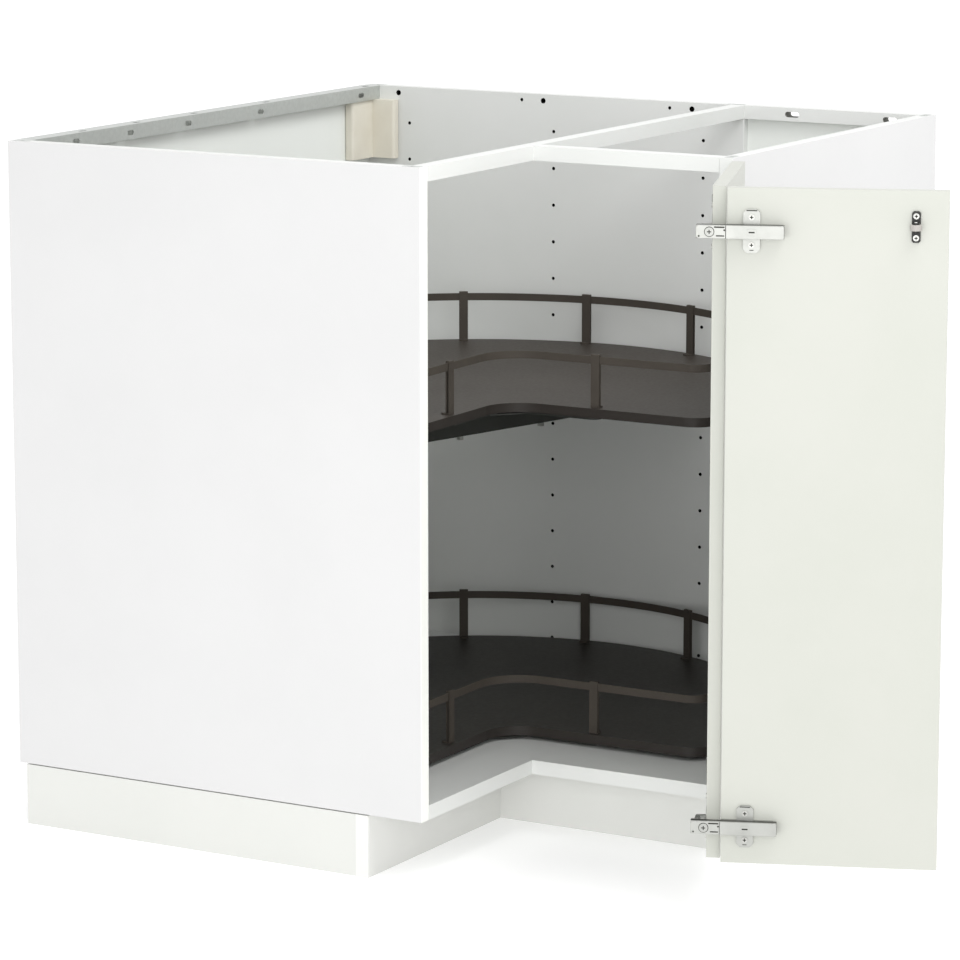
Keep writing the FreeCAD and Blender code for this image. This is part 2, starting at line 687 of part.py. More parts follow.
def cup(centre_x, level, pivot):
    """A pressed hinge cup in a door, with its flange and the cross pin that carries the link."""
    face = -DOOR_FACE
    mouth = V(centre_x, face, level)
    outer = sided(mouth, V(0, -1, 0), CUP_DEPTH, CUP_DIA - 2 * CUP_FIT, CUP_SIDES)
    body = box(
        centre_x - FLANGE_WIDTH / 2, centre_x + FLANGE_WIDTH / 2, face, face + FLANGE_SHEET,
        level - FLANGE_LENGTH / 2, level + FLANGE_LENGTH / 2,
    )
    body = bevelled(body, FLANGE_WIDTH / 4, V(0, 1, 0))
    collar = sided(mouth, V(0, 1, 0), FLANGE_SHEET, CUP_DIA + 2 * FLANGE_SHEET, CUP_SIDES)
    inner_dia = CUP_DIA - 2 * (CUP_FIT + CUP_WALL)
    floor = V(centre_x, face - CUP_DEPTH + CUP_WALL, level)
    depth = CUP_DEPTH - CUP_WALL + FLANGE_SHEET + OVERRUN
    hollow = sided(floor, V(0, 1, 0), depth, inner_dia, CUP_SIDES)
    pin_reach = math.sqrt((inner_dia / 2) ** 2 - (pivot[0] - centre_x) ** 2) + CUP_WALL / 2
    pin = rod(pivot[0], pivot[1], level - pin_reach, level + pin_reach, HINGE_PIN_DIA)
    holes = []
    for side in (-1, 1):
        start = V(centre_x, face - OVERRUN, level + side * FLANGE_SCREW_PITCH / 2)
        holes.append(sided(start, V(0, 1, 0), FLANGE_SHEET + 2 * OVERRUN, SCREW_SHANK_DIA, SCREW_SIDES))
    shell = joined([outer, body, collar]).cut(holes + [hollow])
    return joined([shell, pin])


def cup_hole(centre_x, level):
    start = V(centre_x, -DOOR_FACE + FLANGE_SHEET, level)
    return sided(start, V(0, -1, 0), CUP_DEPTH + FLANGE_SHEET, CUP_DIA, CUP_SIDES)


def cup_screw_shapes(centre_x, level):
    point_y = -DOOR_FACE + FLANGE_SHEET
    return [
        put(screw(SCREW_SHANK_DIA, SCREW_LENGTH), V(centre_x, point_y, level + side * FLANGE_SCREW_PITCH / 2), V(0, 1, 0))
        for side in (-1, 1)
    ]


CUP_A_X = DOOR_FAR - CUP_EDGE
CUP_B_X = DOOR_NEAR + CUP_EDGE


def fork(pivot, level, body):
    """A channel arm's front end: two cheeks with the pin that carries a link."""
    inner = LINK_INNER_HALF + LINK_SIDE_FIT
    pin = rod(pivot[0], pivot[1], level - inner - LINK_SHEET, level + inner + LINK_SHEET, HINGE_PIN_DIA)
    return joined([body, pin])


def hinge_a_arm(level):
    """The channel-shaped arm on the side panel, open to the front where the links fold in."""
    x, y = PIVOT_ARM
    inner = LINK_INNER_HALF + LINK_SIDE_FIT
    outer = inner + LINK_SHEET
    back = -WING_DEPTH + ARM_LENGTH
    face = RIGHT_FACE - PLATE_THICKNESS
    cheeks = []
    for side in (-1, 1):
        z0 = level + side * inner
        z1 = level + side * outer
        cheek = bar((x, y), (x, back), LINK_END_RADIUS, min(z0, z1), max(z0, z1))
        cheeks.append(cheek)
    tray = box(face - ARM_DEPTH, face, -WING_DEPTH + PLATE_CENTRE - PLATE_WIDTH / 2, back, level - outer, level + outer)
    hollow = box(
        face - ARM_DEPTH + ARM_SHEET, face - ARM_SHEET, -WING_DEPTH + PLATE_CENTRE - PLATE_WIDTH / 2 - OVERRUN,
        back + OVERRUN, level - inner, level + inner,
    )
    keep = box(face - ARM_DEPTH, face, -WING_DEPTH - LINK_END_RADIUS, back, level - outer, level + outer)
    front = box(x - LINK_END_RADIUS, RIGHT_FACE, -DOOR_FACE, -WING_DEPTH + PLATE_CENTRE, level - outer, level + outer)
    cheeks = [cheek.common(keep.fuse(front)) for cheek in cheeks]
    panel = box(RIGHT_FACE, WALL_LENGTH, -WING_DEPTH, 0, level - PLATE_LENGTH, level + PLATE_LENGTH)
    plate = box(
        face, RIGHT_FACE, -WING_DEPTH + PLATE_CENTRE - PLATE_WIDTH / 2, back + OVERRUN, level - ARM_HALF, level + ARM_HALF
    )
    body = joined([tray.cut(hollow)] + [cheek.cut([panel, plate]) for cheek in cheeks])
    return fork(PIVOT_ARM, level, body)


def hinge_a_plate(level):
    """The cross-shaped mounting plate on the side panel."""
    y = -WING_DEPTH + PLATE_CENTRE
    face = RIGHT_FACE - PLATE_THICKNESS
    half = PLATE_WIDTH / 2
    wing = box(face, RIGHT_FACE, y - half, y + half, level - PLATE_LENGTH / 2, level + PLATE_LENGTH / 2)
    wing = bevelled(wing, PLATE_ROUND, V(1, 0, 0))
    spine = box(face, RIGHT_FACE, y - half, -WING_DEPTH + ARM_LENGTH, level - ARM_HALF, level + ARM_HALF)
    return joined([wing, spine]).cut(plate_screw_shapes(SCREW_SHANK_DIA, level))


def plate_screw_shapes(dia, level):
    y = -WING_DEPTH + PLATE_CENTRE
    start = RIGHT_FACE - PLATE_THICKNESS - OVERRUN
    end = RIGHT_FACE + SCREW_LENGTH - PLATE_THICKNESS
    return [
        sided(V(start, y, level + side * PLATE_SCREW_PITCH / 2), V(1, 0, 0), end - start, dia, SCREW_SIDES)
        for side in (-1, 1)
    ]


def hinge_a_plate_screws():
    y = -WING_DEPTH + PLATE_CENTRE
    shapes = []
    for level in HINGE_LEVELS:
        for side in (-1, 1):
            point = V(RIGHT_FACE - PLATE_THICKNESS, y, level + side * PLATE_SCREW_PITCH / 2)
            shapes.append(put(screw(SCREW_SHANK_DIA, SCREW_LENGTH), point, V(-1, 0, 0)))
    return group(shapes)


def first_link(level):
    """The link from the arm to the knee, drawn shut. Its knee end runs between the second link's cheeks."""
    z0 = level - LINK_INNER_HALF
    z1 = level + LINK_INNER_HALF
    body = bar(PIVOT_ARM, PIVOT_KNEE, LINK_END_RADIUS, z0, z1)
    bore = HINGE_PIN_DIA + 2 * HINGE_PIN_FIT
    return body.cut(rod(PIVOT_ARM[0], PIVOT_ARM[1], z0 - OVERRUN, z1 + OVERRUN, bore))


def second_link(level):
    """Two cheeks joined by a sleeve on the cup's pin, from the cup to the knee, drawn shut."""
    inner = LINK_INNER_HALF + LINK_SIDE_FIT
    outer = inner + LINK_SHEET
    shapes = [rod(PIVOT_CUP[0], PIVOT_CUP[1], level - outer, level + outer, 2 * LINK_END_RADIUS)]
    bore = rod(PIVOT_CUP[0], PIVOT_CUP[1], level - outer - OVERRUN, level + outer + OVERRUN, HINGE_PIN_DIA + 2 * HINGE_PIN_FIT)
    for side in (-1, 1):
        z0 = level + side * inner
        z1 = level + side * outer
        shapes.append(bar(PIVOT_KNEE, PIVOT_CUP, LINK_END_RADIUS, min(z0, z1), max(z0, z1)))
    return joined(shapes).cut(bore)


FIRST_LINK_TURN = bearing(PIVOT_ARM, PIVOT_KNEE_OPEN) - bearing(PIVOT_ARM, PIVOT_KNEE)
SECOND_LINK_TURN = bearing(PIVOT_KNEE_OPEN, PIVOT_CUP_OPEN) - bearing(PIVOT_KNEE, PIVOT_CUP)


def hinge_a_first_links():
    shapes = [first_link(level) for level in HINGE_LEVELS]
    return group([turned(s, V(PIVOT_ARM[0], PIVOT_ARM[1], 0), FIRST_LINK_TURN) for s in shapes])


def hinge_a_second_links():
    shift = V(PIVOT_KNEE_OPEN[0] - PIVOT_KNEE[0], PIVOT_KNEE_OPEN[1] - PIVOT_KNEE[1], 0)
    shapes = []
    for level in HINGE_LEVELS:
        shape = turned(second_link(level), V(PIVOT_KNEE[0], PIVOT_KNEE[1], 0), SECOND_LINK_TURN)
        shape.translate(shift)
        shapes.append(shape)
    return group(shapes)


# Doors, drawn shut and then opened together

def door_a_panel():
    body = box(DOOR_NEAR, DOOR_FAR, -DOOR_OUTER, -DOOR_FACE, DOOR_BOTTOM, DOOR_TOP)
    body = eased(body, DOOR_EASE, V(0, 0, 1))
    tools = []
    for level in HINGE_LEVELS:
        for centre_x in (CUP_A_X, CUP_B_X):
            tools.append(cup_hole(centre_x, level))
            for side in (-1, 1):
                depth = SCREW_LENGTH - FLANGE_SHEET
                start = V(centre_x, -DOOR_FACE - depth, level + side * FLANGE_SCREW_PITCH / 2)
                tools.append(sided(start, V(0, 1, 0), depth + OVERRUN, SCREW_SHANK_DIA, SCREW_SIDES))
    return opened(body.cut(tools))


def hinge_a_cups():
    return opened(group([cup(CUP_A_X, level, PIVOT_CUP) for level in HINGE_LEVELS]))


def hinge_b_cups():
    return opened(group([cup(CUP_B_X, level, PIE_PIVOT_CUP) for level in HINGE_LEVELS]))


def hinge_cup_screws():
    shapes = []
    for level in HINGE_LEVELS:
        for centre_x in (CUP_A_X, CUP_B_X):
            shapes += cup_screw_shapes(centre_x, level)
    return opened(group(shapes))


def door_b_panel():
    body = box(DOOR_FACE, DOOR_OUTER, -DOOR_FAR, -DOOR_NEAR, DOOR_BOTTOM, DOOR_TOP)
    body = eased(body, DOOR_EASE, V(0, 0, 1))
    places = []
    for level in HINGE_LEVELS:
        for side in (-1, 1):
            z = level + side * PLATE_SCREW_PITCH / 2
            places.append((-(DOOR_NEAR + PIE_PLATE_CENTRE), z, SCREW_LENGTH - PLATE_THICKNESS))
    for side in (-1, 1):
        places.append((CATCH_Y, CATCH_LEVEL + side * CATCH_SCREW_PITCH / 2, SCREW_LENGTH - CATCH_SHEET))
    start = DOOR_FACE - OVERRUN
    tools = [
        sided(V(start, y, z), V(1, 0, 0), depth + OVERRUN, SCREW_SHANK_DIA, SCREW_SIDES)
        for y, z, depth in places
    ]
    return opened(body.cut(tools))


def hinge_b_plate(level):
    """The cross-shaped mounting plate on the second door."""
    y = -(DOOR_NEAR + PIE_PLATE_CENTRE)
    face = DOOR_FACE - PLATE_THICKNESS
    half = PLATE_WIDTH / 2
    wing = box(face, DOOR_FACE, y - half, y + half, level - PLATE_LENGTH / 2, level + PLATE_LENGTH / 2)
    wing = bevelled(wing, PLATE_ROUND, V(1, 0, 0))
    spine = box(face, DOOR_FACE, -(DOOR_NEAR + PIE_ARM_LENGTH - PLATE_ROUND), -DOOR_NEAR, level - ARM_HALF, level + ARM_HALF)
    holes = []
    for side in (-1, 1):
        start = V(face - OVERRUN, y, level + side * PLATE_SCREW_PITCH / 2)
        holes.append(sided(start, V(1, 0, 0), PLATE_THICKNESS + 2 * OVERRUN, SCREW_SHANK_DIA, SCREW_SIDES))
    return joined([wing, spine]).cut(holes)


def hinge_b_plates():
    return opened(group([hinge_b_plate(level) for level in HINGE_LEVELS]))


def hinge_b_arm(level):
    """The long arm on the second door, which reaches over the first door's edge to its knuckle."""
    x, y = PIE_PIVOT_ARM
    inner = LINK_INNER_HALF + LINK_SIDE_FIT
    base = DOOR_FACE - PLATE_THICKNESS
    crest = base - ARM_DEPTH
    far = -(DOOR_NEAR + PIE_ARM_LENGTH)
    tip = -(DOOR_FACE - PIE_KNUCKLE)
    shell = box(crest, base, far, tip, level - ARM_HALF, level + ARM_HALF)
    shell = bevelled(shell, ARM_SHEET, V(0, 1, 0))
    hollow = box(crest + ARM_SHEET, base - ARM_SHEET, far - OVERRUN, -DOOR_NEAR, level - ARM_HALF + ARM_SHEET, level + ARM_HALF - ARM_SHEET)
    mouth = box(crest - OVERRUN, base + OVERRUN, -(DOOR_FACE + OVERRUN), tip + OVERRUN, level - inner, level + inner)
    slot_mid = -(DOOR_NEAR + PIE_ARM_LENGTH * 0.72)
    slot = slot_x(slot_mid, level, PIE_SLOT_LENGTH, PIE_SLOT_WIDTH, crest - OVERRUN, crest + ARM_SHEET + OVERRUN)
    reach = x + LINK_END_RADIUS
    ear = box(base, reach, y - LINK_END_RADIUS, tip, level - ARM_HALF, level + ARM_HALF)
    body = joined([shell, ear]).cut([hollow, mouth, slot])
    pin = rod(x, y, level - ARM_HALF + ARM_SHEET, level + ARM_HALF - ARM_SHEET, HINGE_PIN_DIA)
    return joined([body, pin])


def hinge_b_arms():
    return opened(group([hinge_b_arm(level) for level in HINGE_LEVELS]))


def hinge_b_screws():
    shapes = []
    y = -(DOOR_NEAR + PIE_PLATE_CENTRE)
    for level in HINGE_LEVELS:
        for side in (-1, 1):
            point = V(DOOR_FACE - PLATE_THICKNESS, y, level + side * PLATE_SCREW_PITCH / 2)
            shapes.append(put(screw(SCREW_SHANK_DIA, SCREW_LENGTH), point, V(-1, 0, 0)))
    return opened(group(shapes))


def hinge_b_link(level):
    """The bent link from the first door's cup to the arm's knuckle."""
    z0 = level - LINK_INNER_HALF
    z1 = level + LINK_INNER_HALF
    elbow = (PIE_PIVOT_CUP[0] - LINK_END_RADIUS, PIE_PIVOT_ARM[1])
    arms = [bar(PIE_PIVOT_CUP, elbow, LINK_END_RADIUS, z0, z1), bar(elbow, PIE_PIVOT_ARM, LINK_END_RADIUS, z0, z1)]
    bore = HINGE_PIN_DIA + 2 * HINGE_PIN_FIT
    holes = [rod(p[0], p[1], z0 - OVERRUN, z1 + OVERRUN, bore) for p in (PIE_PIVOT_CUP, PIE_PIVOT_ARM)]
    return joined(arms).cut(holes)


def hinge_b_links():
    return opened(group([hinge_b_link(level) for level in HINGE_LEVELS]))


# Roller catch

CATCH_Y = -(DOOR_FAR - CATCH_EDGE)
CATCH_LEVEL = DOOR_TOP - CATCH_TOP
ROLLER_X = DOOR_FACE - ROLLER_REACH


def catch_plate():
    half = CATCH_WIDTH / 2
    face = DOOR_FACE - CATCH_SHEET
    body = box(face, DOOR_FACE, CATCH_Y - half, CATCH_Y + half, CATCH_LEVEL - CATCH_HEIGHT / 2, CATCH_LEVEL + CATCH_HEIGHT / 2)
    body = bevelled(body, CATCH_WIDTH / 5, V(1, 0, 0))
    holes = []
    for side in (-1, 1):
        start = V(face - OVERRUN, CATCH_Y, CATCH_LEVEL + side * CATCH_SCREW_PITCH / 2)
        holes.append(sided(start, V(1, 0, 0), CATCH_SHEET + 2 * OVERRUN, SCREW_SHANK_DIA, SCREW_SIDES))
    lugs = []
    gap = ROLLER_HEIGHT / 2 + ROLLER_SIDE_GAP
    for side in (-1, 1):
        z0 = CATCH_LEVEL + side * gap
        z1 = CATCH_LEVEL + side * (gap + ROLLER_LUG)
        lugs.append(bar((ROLLER_X, CATCH_Y), (face, CATCH_Y), ROLLER_PIN_DIA, min(z0, z1), max(z0, z1)))
    pin = rod(ROLLER_X, CATCH_Y, CATCH_LEVEL - gap - ROLLER_LUG, CATCH_LEVEL + gap + ROLLER_LUG, ROLLER_PIN_DIA)
    inside = box(face - ROLLER_DIA, DOOR_FACE, CATCH_Y - half, CATCH_Y + half, DOOR_BOTTOM, DOOR_TOP)
    lugs = [lug.common(inside) for lug in lugs]
    well = rod(ROLLER_X, CATCH_Y, CATCH_LEVEL - gap, CATCH_LEVEL + gap, ROLLER_DIA + 2 * ROLLER_SIDE_GAP)
    return opened(joined([body.cut(holes + [well])] + lugs + [pin]))


def catch_screws():
    shapes = []
    for side in (-1, 1):
        point = V(DOOR_FACE - CATCH_SHEET, CATCH_Y, CATCH_LEVEL + side * CATCH_SCREW_PITCH / 2)
        shapes.append(put(screw(SCREW_SHANK_DIA, SCREW_LENGTH), point, V(-1, 0, 0)))
    return opened(group(shapes))


def catch_roller():
    low = CATCH_LEVEL - ROLLER_HEIGHT / 2
    high = CATCH_LEVEL + ROLLER_HEIGHT / 2
    wheel = rod(ROLLER_X, CATCH_Y, low, high, ROLLER_DIA)
    wheel = wheel.makeChamfer(ROLLER_HEIGHT / 8, [e for e in wheel.Edges if e.Closed])
    bore = rod(ROLLER_X, CATCH_Y, low - OVERRUN, high + OVERRUN, ROLLER_PIN_DIA + 2 * ROLLER_FIT)
    return opened(wheel.cut(bore))


# Turning shelves

def shelf_outline(inset, z):
    """The shelf's outline as a wire: three quarters of a round with a rounded corner notch."""
    radius = SHELF_RADIUS - inset
    notch = SHELF_NOTCH - inset
    inner = SHELF_INNER_ROUND + inset
    tip = SHELF_TIP_ROUND - inset
    reach = math.sqrt((radius - tip) ** 2 - (notch - tip) ** 2)
    slope = math.atan2(notch - tip, reach)

    def at(x, y):
        """A point from the shelf's centre, X to the right and Y to the front."""
        return V(TURN_CENTRE + x, -(TURN_CENTRE + y), z)

    mid = math.pi / 4
    low = slope
    end_right = at(radius * math.cos(low), radius * math.sin(low))
    end_front = at(radius * math.sin(low), radius * math.cos(low))
    half = (math.pi / 2 + slope) / 2
    corner = notch + inner - inner * math.cos(mid)
    return Part.Wire([
        Part.LineSegment(at(notch, reach), at(notch, notch + inner)).toShape(),
        Part.Arc(at(notch, notch + inner), at(corner, corner), at(notch + inner, notch)).toShape(),
        Part.LineSegment(at(notch + inner, notch), at(reach, notch)).toShape(),
        Part.Arc(
            at(reach, notch), at(reach + tip * math.cos(half), notch - tip + tip * math.sin(half)), end_right
        ).toShape(),
        Part.Arc(end_right, at(-radius * math.cos(mid), -radius * math.sin(mid)), end_front).toShape(),
        Part.Arc(
            end_front, at(notch - tip + tip * math.sin(half), reach + tip * math.cos(half)), at(notch, reach)
        ).toShape(),
    ])


def shelf_board(base):
    return Part.Face(shelf_outline(0, base)).extrude(V(0, 0, SHELF_BOARD))


def guard_rail(base):
    """The flat bar that runs all the way round the shelf."""
    top = base + SHELF_BOARD + RAIL_RISE
    outer = Part.Face(shelf_outline(GUARD_INSET, top - GUARD_HEIGHT))
    inner = Part.Face(shelf_outline(GUARD_INSET + GUARD_SHEET, top - GUARD_HEIGHT))
    return outer.cut(inner).extrude(V(0, 0, GUARD_HEIGHT))


def post(base):
    """A flat strip folded over the guard rail, with a foot turned inwards. It stands at x = 0
    in the rail's outer face, with the shelf's inside towards minus X."""
    low = base + SHELF_BOARD
    top = low + RAIL_RISE + POST_OVER_RAIL
    half = POST_WIDTH / 2
    outer = POST_FIT + POST_SHEET
    inner = -(GUARD_SHEET + POST_FIT + POST_SHEET)
    strap = box(inner, outer, -half, half, low, top)
    edges = [e for e in along(strap, V(0, 1, 0)) if e.BoundBox.ZMin > low]
    strap = strap.makeChamfer(POST_SHEET / 2, edges)
    slit = box(inner + POST_SHEET, outer - POST_SHEET, -half - OVERRUN, half + OVERRUN, low + POST_FOOT_SHEET, top - POST_OVER_RAIL + POST_FIT)
    foot = box(inner - POST_FOOT, inner + POST_SHEET, -half, half, low, low + POST_FOOT_SHEET)
    ends = [e for e in along(foot, V(0, 0, 1)) if e.BoundBox.XMax < inner]
    foot = foot.makeChamfer(POST_WIDTH / 4, ends)
    return joined([strap.cut(slit), foot])


def shelf_posts(base):
    shapes = []
    radius = SHELF_RADIUS - GUARD_INSET
    for number in range(POSTS_EACH_SIDE):
        angle = POST_FIRST_DEG + number * POST_STEP_DEG
        for side in (-1, 1):
            shape = post(base)
            shape.translate(V(radius, 0, 0))
            shape = turned(shape, V(0, 0, 0), 135 + side * angle)
            shape.translate(SHELF_CENTRE)
            shapes.append(shape)
    flat = turned(post(base), V(0, 0, 0), -90)
    flat.translate(V(FRONT_POST_ALONG + SHELF_NOTCH, -(SHELF_NOTCH - GUARD_INSET), 0))
    flat.translate(SHELF_CENTRE)
    return group(shapes + [flat, mirrored(flat)])


def carrier_plan(z):
    """The rotating steel carrier's plan: a disc with four broad arms."""
    disc = Part.makeCylinder(CARRIER_RADIUS, CARRIER_SHEET, V(TURN_CENTRE, -TURN_CENTRE, z))
    half = SHELF_NOTCH - CARRIER_ARM_INSET
    arms = box(
        TURN_CENTRE - CARRIER_ARM_REACH, TURN_CENTRE + CARRIER_ARM_REACH,
        -TURN_CENTRE - half, -TURN_CENTRE + half, z, z + CARRIER_SHEET,
    )
    arms = eased(arms, CARRIER_ARM_ROUND, V(0, 0, 1))
    return joined([disc, arms, turned(arms, SHELF_CENTRE, 90)])


def spacer_places():
    places = []
    for quarter in range(4):
        for share in SPACER_RING_SHARES:
            reach = CARRIER_ARM_REACH * share
            angle = math.radians(quarter * 90)
            places.append((TURN_CENTRE + reach * math.cos(angle), -TURN_CENTRE + reach * math.sin(angle)))
    return places


def carrier(base):
    z = base - SPACER_HEIGHT - CARRIER_SHEET
    body = carrier_plan(z)
    bore = rod(TURN_CENTRE, -TURN_CENTRE, z - OVERRUN, base, HUB_DIA + 2 * HUB_FIT)
    return body.cut(bore)


def shelf_spacers(base):
    z = base - SPACER_HEIGHT
    shapes = []
    for x, y in spacer_places():
        shapes.append(sided(V(x, y, z), V(0, 0, 1), SPACER_HEIGHT, SPACER_DIA, SPACER_SIDES))
    centre = V(TURN_CENTRE, -TURN_CENTRE, z)
    ring = sided(centre, V(0, 0, 1), SPACER_HEIGHT, HUB_LIP_DIA + 2 * SPACER_DIA, SPACER_SIDES * 2)
    hole = rod(TURN_CENTRE, -TURN_CENTRE, z - OVERRUN, base + OVERRUN, HUB_LIP_DIA + 2 * OVERRUN)
    return group(shapes + [ring.cut(hole)])


def sunk_head(x, y, top, grow=0):
    """A sunk head with its flat top at a level."""
    depth = BASE_SHEET * SUNK_SHARE
    return sided(V(x, y, top - depth), V(0, 0, 1), depth + grow, BEAM_BOLT_HEAD_DIA, SCREW_SIDES)


def bearing_base(level):
    """The fixed bearing plate, with the hollow hub that the carrier turns on."""
    top = level + BASE_SHEET
    z = level + BASE_SHEET + BEARING_GAP
    plate = Part.makeCylinder(BASE_RADIUS, BASE_SHEET, V(TURN_CENTRE, -TURN_CENTRE, level))
    hub = rod(TURN_CENTRE, -TURN_CENTRE, level, z + CARRIER_SHEET + BEARING_GAP, HUB_DIA)
    lip = rod(TURN_CENTRE, -TURN_CENTRE, z + CARRIER_SHEET + BEARING_GAP, z + CARRIER_SHEET + SPACER_HEIGHT - BEARING_GAP, HUB_LIP_DIA)
    hole = rod(TURN_CENTRE, -TURN_CENTRE, level - OVERRUN, z + CARRIER_SHEET + SPACER_HEIGHT, HUB_HOLE_DIA)
    bolts = base_bolt_shapes(BEAM_BOLT_DIA, level - OVERRUN, top + OVERRUN)
    sinks = [sunk_head(x, y, top, OVERRUN) for x, y in base_bolt_points()]
    return joined([plate, hub, lip]).cut([hole] + bolts + sinks)


# Beam under the upper shelf

BEAM_START = (WING_DEPTH * PIN_COLUMN_SHARES[1], LEFT_FACE)
BEAM_END = (WING_DEPTH * PIN_COLUMN_SHARES[2], SIDE_FACE)
BEAM_TURN = bearing(BEAM_START, BEAM_END) + 90


def base_bolt_points():
    """The bolts that hold a bearing plate, in two rows along the beam."""
    points = []
    edge = BEAM_HALF_WIDTH - BEAM_LIP / 2
    for along_beam in (-BEAM_BOLT_HALF_SPAN, BEAM_BOLT_HALF_SPAN):
        for across in (-edge, edge):
            point = (TURN_CENTRE + across, -TURN_CENTRE + along_beam)
            points.append(spin(point, (TURN_CENTRE, -TURN_CENTRE), BEAM_TURN))
    return points


def base_bolt_shapes(dia, z0, z1):
    return [sided(V(x, y, z0), V(0, 0, 1), z1 - z0, dia, SCREW_SIDES) for x, y in base_bolt_points()]


def base_bolt_holes():
    low = FLOOR_BOARD_TOP + BASE_SHEET - FLOOR_SCREW_LENGTH
    return base_bolt_shapes(BEAM_BOLT_DIA, low, FLOOR_BOARD_TOP + OVERRUN)


def beam():
    """A folded steel channel that runs from panel to panel under the turning centre."""
    low = BEAM_TOP - BEAM_DEPTH
    half = BEAM_HALF_WIDTH
    span = WALL_LENGTH
    x = TURN_CENTRE
    y = -TURN_CENTRE
    solid = box(x - half, x + half, y - span, y + span, low, BEAM_TOP)
    solid = bevelled(solid, BEAM_SHEET / 2, V(0, 1, 0))
    hollow = box(x - half + BEAM_SHEET, x + half - BEAM_SHEET, y - span, y + span, low + BEAM_SHEET, BEAM_TOP - BEAM_SHEET)
    opening = box(x - half + BEAM_LIP, x + half - BEAM_LIP, y - span, y + span, low - OVERRUN, low + 2 * BEAM_SHEET)
    body = turned(solid.cut([hollow, opening]), SHELF_CENTRE, BEAM_TURN)
    room = box(0, WALL_LENGTH, LEFT_FACE + BEAM_SHEET, SIDE_FACE - BEAM_SHEET, low - OVERRUN, CARCASS_TOP)
    centre = rod(TURN_CENTRE, -TURN_CENTRE, low - OVERRUN, BEAM_TOP + OVERRUN, HUB_HOLE_DIA)
    bolts = base_bolt_shapes(BEAM_BOLT_DIA, low - OVERRUN, BEAM_TOP + OVERRUN)
    return body.common(room).cut(bolts + [centre])


def beam_bracket(centre_x, face, sheet):
    """An end plate of the beam, screwed flat to a side panel."""
    low = BEAM_TOP - BEAM_BRACKET_HEIGHT
    half = BEAM_BRACKET_LENGTH / 2
    plate = box(centre_x - half, centre_x + half, face, face + sheet, low, BEAM_TOP)
    plate = bevelled(plate, BEAM_LIP / 2, V(0, 1, 0))
    inset = BEAM_BRACKET_HEIGHT / 6
    holes = []
    for side in (-1, 1):
        start = V(centre_x + side * (half - inset), min(face, face + sheet) - OVERRUN, low + inset)
        holes.append(sided(start, V(0, 1, 0), abs(sheet) + 2 * OVERRUN, PIN_HOLE_DIA, SCREW_SIDES))
    return plate.cut(holes)


def beam_crossing(y):
    """Where the beam's middle line crosses a plane of constant Y."""
    run = (y + TURN_CENTRE) / math.cos(math.radians(BEAM_TURN))
    return TURN_CENTRE - run * math.sin(math.radians(BEAM_TURN))


def beam_brackets():
    return group([
        beam_bracket(beam_crossing(LEFT_FACE), LEFT_FACE, BEAM_SHEET),
        beam_bracket(beam_crossing(SIDE_FACE), SIDE_FACE, -BEAM_SHEET),
    ])


def bolt(x, y, grip_low, grip_high):
    """A bolt with a nut below and a sunk head above."""
    low = grip_low - BEAM_BOLT_HEAD
    shank = sided(V(x, y, low), V(0, 0, 1), grip_high - low, BEAM_BOLT_DIA, SCREW_SIDES)
    nut = sided(V(x, y, low), V(0, 0, 1), BEAM_BOLT_HEAD, BEAM_BOLT_HEAD_DIA, BEAM_NUT_SIDES)
    return joined([shank, nut, sunk_head(x, y, grip_high)])


def beam_bolts():
    low = BEAM_TOP - BEAM_DEPTH
    return group([bolt(x, y, low, BEAM_TOP + BASE_SHEET) for x, y in base_bolt_points()])


def floor_screws():
    top = FLOOR_BOARD_TOP + BASE_SHEET
    shapes = []
    for x, y in base_bolt_points():
        low = V(x, y, top - FLOOR_SCREW_LENGTH)
        shank = sided(low, V(0, 0, 1), FLOOR_SCREW_LENGTH, BEAM_BOLT_DIA, SCREW_SIDES)
        shapes.append(joined([shank, sunk_head(x, y, top)]))
    return group(shapes)


